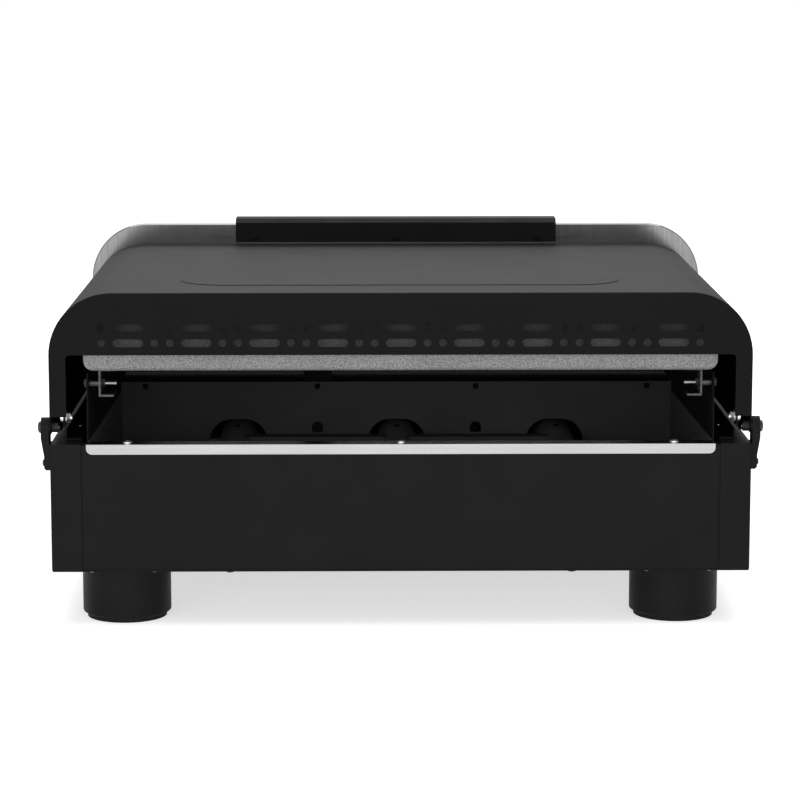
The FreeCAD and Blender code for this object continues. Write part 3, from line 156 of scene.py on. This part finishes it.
# Control panel: the folded front of the body, sprayed like the tub but flatter, with a shelf that runs
# in under the hood. The shelf is painted near-black as painted shade and made fully matte, from in
# front of the hood's plate inwards. The two shade distances are from the plate.
SHADE_START = 0.034
SHADE_END = 0.024
# Near-black painted on the shelf as painted shade, where it lies under the griddle.
PAINTED_SHADE_BLACK = (0.0012, 0.0012, 0.0012, 1)


def mix(material, factor, first, second, kind="RGBA", way="MIX"):
    """Goes from the first field to the second as the factor rises from 0 to 1; plain values will do."""
    node = material.node_tree.nodes.new("ShaderNodeMix")
    node.data_type = kind
    node.blend_type = way
    for name, value in (("Factor", factor), ("A", first), ("B", second)):
        if isinstance(value, bpy.types.NodeSocket):
            material.node_tree.links.new(value, node.inputs[name])
        else:
            node.inputs[name].default_value = value
    return node.outputs["Result"]


def painted_shade_and_matte(material, start, end):
    """Fades a coat's colour to near-black as painted shade, and its roughness to fully matte, as y goes
    from start to end.
    """
    shader = material.node_tree.nodes["Principled BSDF"]
    inward = span(material, along(material, "Y"), 0.0, 1.0, start, end)
    for name, kind, shade_and_matte in (("Base Color", "RGBA", PAINTED_SHADE_BLACK), ("Roughness", "FLOAT", 1.0)):
        fresh = shader.inputs[name].links[0].from_socket
        faded = mix(material, inward, fresh, shade_and_matte, kind)
        material.node_tree.links.new(faded, shader.inputs[name])


plate_low, plate_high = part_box("hood_front_plate")
panel_coat = powder_coat(
    "flat_black_powder", dark=0.0122, light=0.0144, smooth=0.52, rough=0.58, peel=1300, specular=0.03)
painted_shade_and_matte(panel_coat, start=plate_low.y - SHADE_START, end=plate_low.y - SHADE_END)
dress(panel_coat, "control_panel")


# Rear trim: a strip of stainless sheet folded over the rear edge, brushed lengthwise.
# Three zinc-plated pan-head screws hold it down on the ledge.
def brushed_steel(name, dark, light, smooth, rough, drawn):
    """Bare steel with fine scratches; drawn gives their cells to the metre in x, y and z."""
    material, shader = open_finish(name, metallic=1.0)
    scratch = grain(material, place(material, stretch=drawn), scale=1.0, detail=4.0, rough=0.7)
    return wire(
        material, shader,
        colour=tint(material, scratch, [(0.3, dark), (0.7, light)]),
        roughness=span(material, grain(material, place(material), scale=9.0), smooth, rough),
        normal=relief(material, scratch, strength=0.10, depth=0.00006),
    )


trim_steel = brushed_steel(
    "brushed_trim_steel", dark=0.36, light=0.43, smooth=0.20, rough=0.27, drawn=(4, 900, 900))
dress(trim_steel, "rear_trim_strip")

# In metres: the height of a pan head, its shank, the least space that parts two screws, and how near
# points have to be to count as one.
PAN_HEAD = 0.0026
SHANK_RADIUS = 0.002
SCREW_PARTING = 0.004
MERGE_REACH = 1e-6
# Shares of the head's radius or height, or for the stem of the shank's radius or length.
DOME_REACH = 0.90
DOME_FALL = 0.35
DOME_POWER = 2.4
CROSS_HALF_WIDTH = 0.13
CROSS_BEVEL = 0.6
CROSS_REACH = 0.62
CROSS_DEPTH = 0.55
RIM_PROFILE = [(0.97, 0.50), (1.0, 0.30), (1.0, 0.0)]
STEM_PROFILE = [(1.0, 0.0), (1.0, -0.85), (0.35, -1.0), (0.0, -1.0)]
DOME_STEPS = 15
TURN_STEPS = 48


def screw_places(node, out, head, side):
    """Seats, head radius and shank length of a node's screws, read from its CAD mesh.

    Corners belong to one screw until a coordinate across the axis, in order, jumps by more than
    the parting. A seat is the middle of its screw across the axis, one head's height below the crown.
    """
    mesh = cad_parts[node].data
    corners = np.empty(len(mesh.vertices) * 3)
    mesh.vertices.foreach_get("co", corners)
    corners = corners.reshape(-1, 3)
    corners = corners[corners[:, 0] * side >= 0]
    axis = np.array(out, float)
    across = np.flatnonzero(axis == 0)
    order = np.argsort(corners[:, across], axis=0)
    ranked = np.take_along_axis(corners[:, across], order, 0)
    jumps = np.cumsum(np.diff(ranked, axis=0, prepend=ranked[:1]) > SCREW_PARTING, axis=0)
    labels = np.empty_like(jumps)
    np.put_along_axis(labels, order, jumps, 0)
    screw = np.unique(labels, axis=0, return_inverse=True)[1].ravel()
    low = np.full((screw.max() + 1, 3), np.inf)
    high = -low
    np.minimum.at(low, screw, corners)
    np.maximum.at(high, screw, corners)
    crown = np.where(axis > 0, high, low)
    seats = np.where(axis == 0, (low + high) / 2, crown) - axis * head
    size = high[0] - low[0]
    return seats, size[across].max() / 2, size[axis != 0][0] - head


def cross_head_screws(name, node, out, head, body, material, side=0):
    """A node's pan-head screws as one mesh: a profile turned round the axis at each seat.

    The profile runs from the crown's middle over the dome and rim to the seat, in to the shank and
    down to its tip. The crown sinks where the smaller of the two offsets from the axis is within an
    arm's width, deepest in the middle, which presses in the cross. Points that meet on the axis are
    merged, so crown and tip are closed.
    """
    seats, radius, length = screw_places(node, out, head, side)
    crown = np.linspace(0.0, 1.0, DOME_STEPS)
    dome = np.stack([crown * radius * DOME_REACH, head * (1 - DOME_FALL * crown ** DOME_POWER)], 1)
    rim = np.array(RIM_PROFILE) * (radius, head)
    stem = np.array(STEM_PROFILE) * (SHANK_RADIUS, length)
    profile = np.concatenate([dome, rim, stem])
    turn = np.linspace(0, 2 * math.pi, TURN_STEPS, endpoint=False)
    u = profile[:, :1] * np.cos(turn)
    v = profile[:, :1] * np.sin(turn)
    w = np.repeat(profile[:, 1:], turn.size, 1)
    arm = np.minimum(np.abs(u), np.abs(v)) / (radius * CROSS_HALF_WIDTH)
    reach = np.maximum(np.abs(u), np.abs(v)) / (radius * CROSS_REACH)
    press = np.clip(1 + CROSS_BEVEL - arm, 0, 1) * np.sqrt(np.clip(1 - reach, 0, 1))
    press[DOME_STEPS:] = 0
    w = w - press * head * CROSS_DEPTH
    axis = Vector(out)
    across = axis.orthogonal().normalized()
    basis = np.array([across, axis.cross(across), axis])
    points = (seats[:, None, None, :] + np.stack([u, v, w], -1) @ basis).reshape(-1, 3)
    rows, columns = w.shape
    ring = np.arange(columns)
    start = np.arange(rows - 1)[:, None] * columns
    here = start + ring
    beside = start + (ring + 1) % columns
    quads = np.stack([here, here + columns, beside + columns, beside], -1).reshape(-1, 4)
    first = np.arange(len(seats)) * w.size
    quads = (quads + first[:, None, None]).reshape(-1, 4)
    mesh = bpy.data.meshes.new(name)
    mesh.from_pydata(points, [], quads.tolist())
    solid = bmesh.new()
    solid.from_mesh(mesh)
    bmesh.ops.remove_doubles(solid, verts=solid.verts, dist=MERGE_REACH)
    solid.to_mesh(mesh)
    solid.free()
    mesh.shade_smooth()
    mesh.materials.append(material)
    piece = bpy.data.objects.new(name, mesh)
    bpy.context.scene.collection.objects.link(piece)
    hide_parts(node)
    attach(piece, body)


def plated(name, dark, light, smooth, rough, specks=420):
    """Electroplate or bare metal: small specks in tone and height, and slow clouds in gloss."""
    material, shader = open_finish(name, metallic=1.0)
    spot = place(material)
    speck = grain(material, spot, specks)
    return wire(
        material, shader,
        colour=tint(material, speck, [(0.3, dark), (0.7, light)]),
        roughness=span(material, grain(material, spot, scale=60.0), smooth, rough),
        normal=relief(material, speck, strength=0.08, depth=0.00005),
    )


zinc = plated("bright_zinc", dark=(0.62, 0.63, 0.65), light=(0.78, 0.79, 0.80), smooth=0.22, rough=0.34)
cross_head_screws("trim_screw_heads", "trim_screws", (0, 0, 1), PAN_HEAD, "chassis", zinc)


# Feet: four thick moulded plastic feet with a rubber pad below and a zinc plate above.
# Four pan-head screws go up through each plate into the bottom sheet.
# The bumpers under the hood are moulded in the same rubber.
def moulded(name, dark, light, smooth, rough, cells, depth, specular):
    """Moulded plastic or rubber: spark-eroded grain from the tool, and slow uneven gloss."""
    material, shader = open_finish(name, specular=specular)
    spot = place(material)
    return wire(
        material, shader,
        colour=tint(material, grain(material, spot, scale=22.0), [(0.35, dark), (0.65, light)]),
        roughness=span(material, grain(material, spot, scale=45.0), smooth, rough),
        normal=relief(material, grain(material, spot, cells, detail=2.0), strength=0.25, depth=depth),
    )


foot_plastic = moulded(
    "foot_plastic_black", dark=0.005, light=0.0075, smooth=0.46, rough=0.56,
    cells=900, depth=0.0001, specular=0.10)
soft_rubber = moulded(
    "matte_rubber", dark=0.006, light=0.010, smooth=0.70, rough=0.85,
    cells=500, depth=0.0002, specular=0.20)
dress(foot_plastic, "feet")
dress(soft_rubber, "foot_pads", "hood_bumpers")
dress(zinc, "foot_plates")
cross_head_screws("foot_screw_heads", "foot_screws", (0, 0, -1), PAN_HEAD, "chassis", zinc)


# Bottom screws: black pan heads that hold the bottom sheet to the flanges of the four walls.
# They are blackened steel, oiled, and duller than the zinc ones.
blackened = plated("blackened_steel", dark=0.035, light=0.070, smooth=0.30, rough=0.40)
cross_head_screws(
    "bottom_screw_heads", "bottom_screws", (0, 0, -1), PAN_HEAD,
    "chassis", blackened)


# Side-deck rails: low folded angles that stand just inside the hood's walls when it is shut.
# Each is held by three small zinc screws.
SMALL_HEAD = 0.0022
dress(body_coat, "deck_rail_left", "deck_rail_right")
cross_head_screws("rail_screw_heads", "rail_screws", (0, 0, 1), SMALL_HEAD, "chassis", zinc)


# Firebox: two upright support plates, a textured liner and a firewall, in heat-proof matte black.
# The firewall hangs on four small screws of oiled black steel from the fold of the control panel.
# The support plates are painted near-black, as painted shade.
heat_coat = powder_coat(
    "heatproof_matte_black", dark=0.055, light=0.068, smooth=0.68, rough=0.80, peel=900, specular=0.12)
# Near-black coat painted on parts deep in the firebox and below it, as painted shade.
shade_black_coat = powder_coat(
    "shade_black_heatproof", dark=0.007, light=0.011, smooth=0.70, rough=0.80, peel=900, specular=0.05)
dress(heat_coat, "firewall", "burner_rests", "tray_rails")
dress(shade_black_coat, "support_plate_left", "support_plate_right")


def hammered_coat(name):
    """Heat-proof coat over embossed sheet: close pebbles a few millimetres across, with painted light
    and shade, paler in each pebble's middle and darker towards its edge.
    """
    material, shader = open_finish(name, specular=0.12)
    spot = place(material)
    cells = material.node_tree.nodes.new("ShaderNodeTexVoronoi")
    cells.feature = "SMOOTH_F1"
    cells.inputs["Scale"].default_value = 260.0
    material.node_tree.links.new(spot, cells.inputs["Vector"])
    pebble = cells.outputs["Distance"]
    skin = relief(material, grain(material, spot, scale=1100.0), strength=0.25, depth=0.00012)
    return wire(
        material, shader,
        # Painted light and shade: the tone follows the pebble relief, paler in the middle of each cell.
        colour=tint(material, pebble, [(0.10, 0.14), (0.55, 0.075)]),
        roughness=span(material, grain(material, spot, scale=120.0), low=0.56, high=0.72),
        normal=relief(material, pebble, strength=0.55, depth=0.0012, under=skin),
    )


dress(hammered_coat("hammered_liner_coat"), "firebox_liner")
oiled = plated("oiled_black_steel", dark=0.006, light=0.016, smooth=0.22, rough=0.32)
cross_head_screws(
    "firewall_screw_heads", "firewall_screws", (0, 1, 0), SMALL_HEAD,
    "chassis", oiled)


# Burners: three steel tubes with slits in both flanks, joined by two inverted cross-over channels.
# Heat has dulled the steel and left faint straw and blue clouds.
# The channels are coated like the firewall.
def heat_tinted_steel(name, stops):
    """Rolled steel, dull and clouded by heat, with faint draw lines along the tube."""
    material, shader = open_finish(name, metallic=0.5)
    cloud = grain(material, place(material), scale=26.0, detail=4.0)
    lines = grain(material, place(material, stretch=(600, 5, 600)), scale=1.0)
    return wire(
        material, shader,
        colour=tint(material, cloud, stops),
        roughness=span(material, cloud, low=0.36, high=0.54),
        normal=relief(material, lines, strength=0.12, depth=0.00008),
    )


BLUE_CLOUD = (0.14, 0.14, 0.147)
GREY_CLOUD = (0.19, 0.185, 0.18)
STRAW_CLOUD = (0.24, 0.228, 0.215)
burner_steel = heat_tinted_steel(
    "heat_dulled_steel", [(0.3, BLUE_CLOUD), (0.5, GREY_CLOUD), (0.7, STRAW_CLOUD)])
dress(burner_steel, "burner_left", "burner_center", "burner_right")
dress(heat_coat, "crossovers")
cross_head_screws(
    "burner_screw_heads", "burner_screws", (0, 0, 1), SMALL_HEAD,
    "chassis", oiled)


# Gas train: a square steel manifold on two brackets, three die-cast valves with brass jets,
# and a brass hose inlet at the right-hand end. Nothing here is painted.
manifold_steel = brushed_steel(
    "drawn_manifold_steel", dark=0.34, light=0.46, smooth=0.34, rough=0.46, drawn=(3, 500, 500))
die_cast = plated("die_cast_metal", dark=0.44, light=0.58, smooth=0.42, rough=0.55, specks=700)
brass = plated(
    "machined_brass", dark=(0.66, 0.46, 0.18), light=(0.80, 0.60, 0.28),
    smooth=0.22, rough=0.32, specks=300)
bracket_steel = plated("plain_bracket_steel", dark=0.04, light=0.08, smooth=0.34, rough=0.48)
dress(manifold_steel, "gas_manifold")
dress(die_cast, "valve_left", "valve_center", "valve_right")
dress(brass, "gas_jets", "gas_inlet")
dress(bracket_steel, "manifold_brackets")


# Knobs: three moulded knobs with a bar grip, each pushed on a bright steel stem through a round
# stainless bezel. A painted line along the upper half of the grip shows where it points.
LINE_HALF_WIDTH = 0.0009
LINE_START = 0.005
LINE_PAINT = (0.72, 0.72, 0.70, 1)
bezel_steel = brushed_steel(
    "turned_bezel_steel", dark=0.58, light=0.74, smooth=0.24, rough=0.34, drawn=(700, 700, 700))
stem_steel = plated("bright_stem_steel", dark=0.62, light=0.76, smooth=0.12, rough=0.22)
dress(bezel_steel, "knob_bezels")
dress(stem_steel, "stem_left", "stem_center", "stem_right")


def calculate(material, operation, first, second):
    """One step of arithmetic on fields; a second value may be a plain number."""
    node = material.node_tree.nodes.new("ShaderNodeMath")
    node.operation = operation
    material.node_tree.links.new(first, node.inputs[0])
    if isinstance(second, float):
        node.inputs[1].default_value = second
    else:
        material.node_tree.links.new(second, node.inputs[1])
    return node.outputs["Value"]


def marked_knob(name, x, z):
    """Matte plastic, white where the offset sideways from the axis is small and z is above the axis."""
    material, shader = open_finish(name, specular=0.35)
    spot = place(material)
    sideways = along(material, "X", shift=(-x, 0, 0))
    upright = along(material, "Z", shift=(0, 0, -z))
    narrow = calculate(material, "COMPARE", sideways, 0.0)
    narrow.node.inputs[2].default_value = LINE_HALF_WIDTH
    upper = calculate(material, "GREATER_THAN", upright, LINE_START)
    line = calculate(material, "MULTIPLY", narrow, upper)
    plastic = tint(material, grain(material, spot, scale=30.0), [(0.35, 0.010), (0.65, 0.016)])
    return wire(
        material, shader,
        colour=mix(material, line, plastic, LINE_PAINT),
        roughness=span(material, grain(material, spot, scale=60.0), low=0.42, high=0.54),
        normal=relief(material, grain(material, spot, scale=1100.0), strength=0.22, depth=0.0001),
    )


for knob in ("knob_left", "knob_center", "knob_right"):
    low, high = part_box(knob)
    middle = (low + high) / 2
    dress(marked_knob("marked_" + knob, middle.x, middle.z), knob)


# Griddle: a heavy pan of rolled steel plate with welded walls, grey and evenly grained by blasting.
# Its lower edge and the upper half of its walls are painted darker, as painted shade.
# Four U brackets, spacers and zinc bolts carry it on the support plates.
# Painted shade: darker along the lower edge and over the upper part of the walls, by height above the
# underside.
LOWER_EDGE_SHADE = [(0.0, 0.35), (0.002, 0.85), (0.0035, 1.0)]
UPPER_WALL_SHADE = [(0.0205, 1.0), (0.0243, 0.24), (0.0357, 0.25), (0.0386, 0.10)]


def blasted_steel(name, dark, light, underside, shade_stops):
    """Blasted plate: fine salt-and-pepper grain, times the share of its tone that the painted shade
    leaves.

    The painted shade is given as (height above the underside, share), and runs evenly from one to the
    next.
    """
    material, shader = open_finish(name, metallic=0.3, specular=0.3)
    spot = place(material)
    pepper = grain(material, spot, scale=700.0, detail=4.0, rough=0.8)
    top = shade_stops[-1][0]
    height = span(material, along(material, "Z"), 0.0, 1.0, start=underside, end=underside + top)
    bare = tint(material, pepper, [(0.36, dark), (0.64, light)])
    shade_share = tint(material, height, [(level / top, share) for level, share in shade_stops])
    return wire(
        material, shader,
        colour=mix(material, 1.0, bare, shade_share, way="MULTIPLY"),
        roughness=span(material, grain(material, spot, scale=14.0), low=0.55, high=0.68),
        normal=relief(material, pepper, strength=0.35, depth=0.0002),
    )


griddle_steel = blasted_steel(
    "blasted_griddle_steel", dark=0.09, light=0.38,
    underside=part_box("griddle_pan")[0].z, shade_stops=LOWER_EDGE_SHADE + UPPER_WALL_SHADE)
dress(griddle_steel, "griddle_pan")
dress(bracket_steel, "griddle_brackets")
dress(plated("dull_zinc", dark=0.16, light=0.28, smooth=0.30, rough=0.42), "bracket_bolts")
dress(blackened, "bracket_spacers")


# Grease way: a square chute below the drain, coated and painted near-black as painted shade, and a
# shallow pull-out tray.
# The tray is galvanised, and its zinc has frozen in flat crystals of different grey.
def spangled(name):
    """Galvanised sheet: each crystal cell has its own grey, with a faint edge."""
    material, shader = open_finish(name, metallic=1.0)
    spot = place(material)
    cells = material.node_tree.nodes.new("ShaderNodeTexVoronoi")
    cells.inputs["Scale"].default_value = 130.0
    material.node_tree.links.new(spot, cells.inputs["Vector"])
    return wire(
        material, shader,
        colour=tint(material, cells.outputs["Color"], [(0.1, 0.40), (0.9, 0.58)]),
        roughness=span(material, grain(material, spot, scale=50.0), low=0.34, high=0.48),
        normal=relief(material, cells.outputs["Distance"], strength=0.06, depth=0.0001),
    )


dress(spangled("galvanised_sheet"), "grease_tray")
# The chute's near-black is painted shade.
dress(shade_black_coat, "grease_chute")


# Hood: a rolled shell with a low raised panel and a pressed rear face with two rows of vents.
# It is sprayed with heat-proof satin black, a little smoother than the body.
hood_coat = powder_coat(
    "satin_black_hood", dark=0.0042, light=0.0048, smooth=0.57, rough=0.59, peel=1500, specular=0.075)
dress(hood_coat, "hood_rear_panel", "hood_shell", "hood_doublers")


# Hood front plate: stainless sheet with rounded upper corners and a bevelled rim, brushed upright.
# Its edge stands above the hood and carries the handle. The rear face is painted darker than the front,
# as painted shade, and the rim is ground.
FACE_SKIN = 0.0002
FRONT_TONES = [(0.3, 0.34), (0.7, 0.50)]
RIM_TONES = [(0.3, 0.20), (0.7, 0.26)]
# Tones of the rear face, darker than the front's as painted shade.
REAR_SHADE_TONES = [(0.3, 0.15), (0.7, 0.29)]


def three_toned_plate(name, front, rear):
    """Steel with upright scratches, in new tones where y leaves the front face, and in darker tones of
    painted shade where it reaches the rear.
    """
    material, shader = open_finish(name, metallic=1.0)
    scratch = grain(material, place(material, stretch=(480, 480, 3)), scale=1.0, detail=4.0, rough=0.7)
    depth = along(material, "Y")
    colour = tint(material, scratch, FRONT_TONES)
    for plane, tones in ((front + FACE_SKIN, RIM_TONES), (rear - FACE_SKIN, REAR_SHADE_TONES)):
        past = calculate(material, "GREATER_THAN", depth, plane)
        colour = mix(material, past, colour, tint(material, scratch, tones))
    return wire(
        material, shader,
        colour=colour,
        roughness=span(material, grain(material, place(material), scale=9.0), low=0.09, high=0.13),
        normal=relief(material, scratch, strength=0.10, depth=0.00006),
    )


dress(three_toned_plate("brushed_plate_steel", plate_low.y, plate_high.y), "hood_front_plate")


# Handle: one strip of steel folded over the plate's top edge and down into a grip, coated matte black.
# Three small screws go through its rear flange, and were sprayed with it.
handle_coat = powder_coat(
    "matte_black_handle", dark=0.003, light=0.0042, smooth=0.56, rough=0.64, peel=1100, specular=0.07)
dress(handle_coat, "hood_handle")
cross_head_screws(
    "handle_screw_heads", "handle_screws", (0, 1, 0), SMALL_HEAD,
    "hood", handle_coat)


# Hinges: a coated cast lever on each side panel, a domed bolt through a bush into the hood's wall,
# and zinc bolts that fix the inner doublers. Two small black screws hold each lever.
dress(body_coat, "hinge_bracket_left", "hinge_bracket_right")
dress(blackened, "pivot_bolts", "hinge_bushes")
dress(zinc, "doubler_bolts")
for side, name in ((-1, "hinge_screw_heads_left"), (1, "hinge_screw_heads_right")):
    cross_head_screws(
        name, "hinge_screws", (side, 0, 0), SMALL_HEAD, "chassis", blackened, side)


# Studio: a wide pale floor under even soft light from a white room, with one softbox overhead,
# a wide low one behind and one high in front. The floor and the room read as white to the camera.
ROOM_LIGHT = 0.45
FLOOR_REACH = 40.0
FLOOR_COLOUR = 0.85
FLOOR_GLOW = 0.62
LAMP_AIM = Vector((0, 0, 0.2))


def room_rays(tree):
    """One for rays from the camera, a mirror or glass, which should all see the white room."""
    path = tree.nodes.new("ShaderNodeLightPath")
    seen = path.outputs["Is Camera Ray"]
    for kind in ("Is Glossy Ray", "Is Transmission Ray"):
        most = tree.nodes.new("ShaderNodeMath")
        most.operation = "MAXIMUM"
        tree.links.new(seen, most.inputs[0])
        tree.links.new(path.outputs[kind], most.inputs[1])
        seen = most.outputs["Value"]
    return seen


world = bpy.data.worlds.new("white_room")
bpy.context.scene.world = world
world.use_nodes = True
room = world.node_tree
strength = room.nodes.new("ShaderNodeMapRange")
strength.inputs["To Min"].default_value = ROOM_LIGHT
strength.inputs["To Max"].default_value = 1.0
room.links.new(room_rays(room), strength.inputs["Value"])
room.nodes["Background"].inputs["Color"].default_value = (1, 1, 1, 1)
room.links.new(strength.outputs["Result"], room.nodes["Background"].inputs["Strength"])

floor_mesh = bpy.data.meshes.new("pale_floor")
floor_corners = [(x * FLOOR_REACH, y * FLOOR_REACH, 0) for x, y in ((-1, -1), (1, -1), (1, 1), (-1, 1))]
floor_mesh.from_pydata(floor_corners, [], [(0, 1, 2, 3)])
floor = bpy.data.objects.new("pale_floor", floor_mesh)
bpy.context.scene.collection.objects.link(floor)
paper = bpy.data.materials.new("pale_paper")
paper.use_nodes = True
sheet = paper.node_tree
sheet.nodes.remove(sheet.nodes["Principled BSDF"])
matte = sheet.nodes.new("ShaderNodeBsdfDiffuse")
matte.inputs["Color"].default_value = (FLOOR_COLOUR, FLOOR_COLOUR, FLOOR_COLOUR, 1)
glow = sheet.nodes.new("ShaderNodeEmission")
lift = sheet.nodes.new("ShaderNodeMath")
lift.operation = "MULTIPLY"
lift.inputs[1].default_value = FLOOR_GLOW
sheet.links.new(room_rays(sheet), lift.inputs[0])
sheet.links.new(lift.outputs["Value"], glow.inputs["Strength"])
both = sheet.nodes.new("ShaderNodeAddShader")
sheet.links.new(matte.outputs["BSDF"], both.inputs[0])
sheet.links.new(glow.outputs["Emission"], both.inputs[1])
sheet.links.new(both.outputs["Shader"], sheet.nodes["Material Output"].inputs["Surface"])
floor_mesh.materials.append(paper)


def softbox(name, spot, size, watts):
    """Area lamp at spot, facing the middle of the griddle."""
    lamp = bpy.data.lights.new(name, "AREA")
    lamp.shape = "RECTANGLE"
    lamp.size, lamp.size_y = size
    lamp.energy = watts
    box = bpy.data.objects.new(name, lamp)
    box.location = spot
    box.rotation_euler = (LAMP_AIM - Vector(spot)).to_track_quat("-Z", "Y").to_euler()
    box.visible_camera = False
    bpy.context.scene.collection.objects.link(box)


softbox("overhead_softbox", spot=(0.0, 0.2, 2.6), size=(2.6, 2.6), watts=35.0)
softbox("rear_softbox", spot=(0.6, 4.6, 0.8), size=(6.0, 1.6), watts=90.0)
softbox("front_softbox", spot=(0.0, -2.6, 2.6), size=(2.0, 2.0), watts=30.0)


# Camera: behind the griddle and a little above it, with a long lens, as in the photograph.
# Its turn to the side and its tip downwards are in radians, the lens and sensor in millimetres.
CAMERA_PLACE = (0.0366, 3.1142, 0.6818)
CAMERA_TURN = 0.01258
CAMERA_TIP = 0.15859
FOCAL_LENGTH = 129.1
SENSOR_WIDTH = 36.0
lens = bpy.data.cameras.new("rear_camera")
lens.lens = FOCAL_LENGTH
lens.sensor_width = SENSOR_WIDTH
camera = bpy.data.objects.new("rear_camera", lens)
camera.location = CAMERA_PLACE
level = math.cos(CAMERA_TIP)
ahead = Vector((-math.sin(CAMERA_TURN) * level, -math.cos(CAMERA_TURN) * level, -math.sin(CAMERA_TIP)))
camera.rotation_euler = ahead.to_track_quat("-Z", "Y").to_euler()
bpy.context.scene.collection.objects.link(camera)
bpy.context.scene.camera = camera
bpy.context.scene.view_settings.view_transform = "Standard"
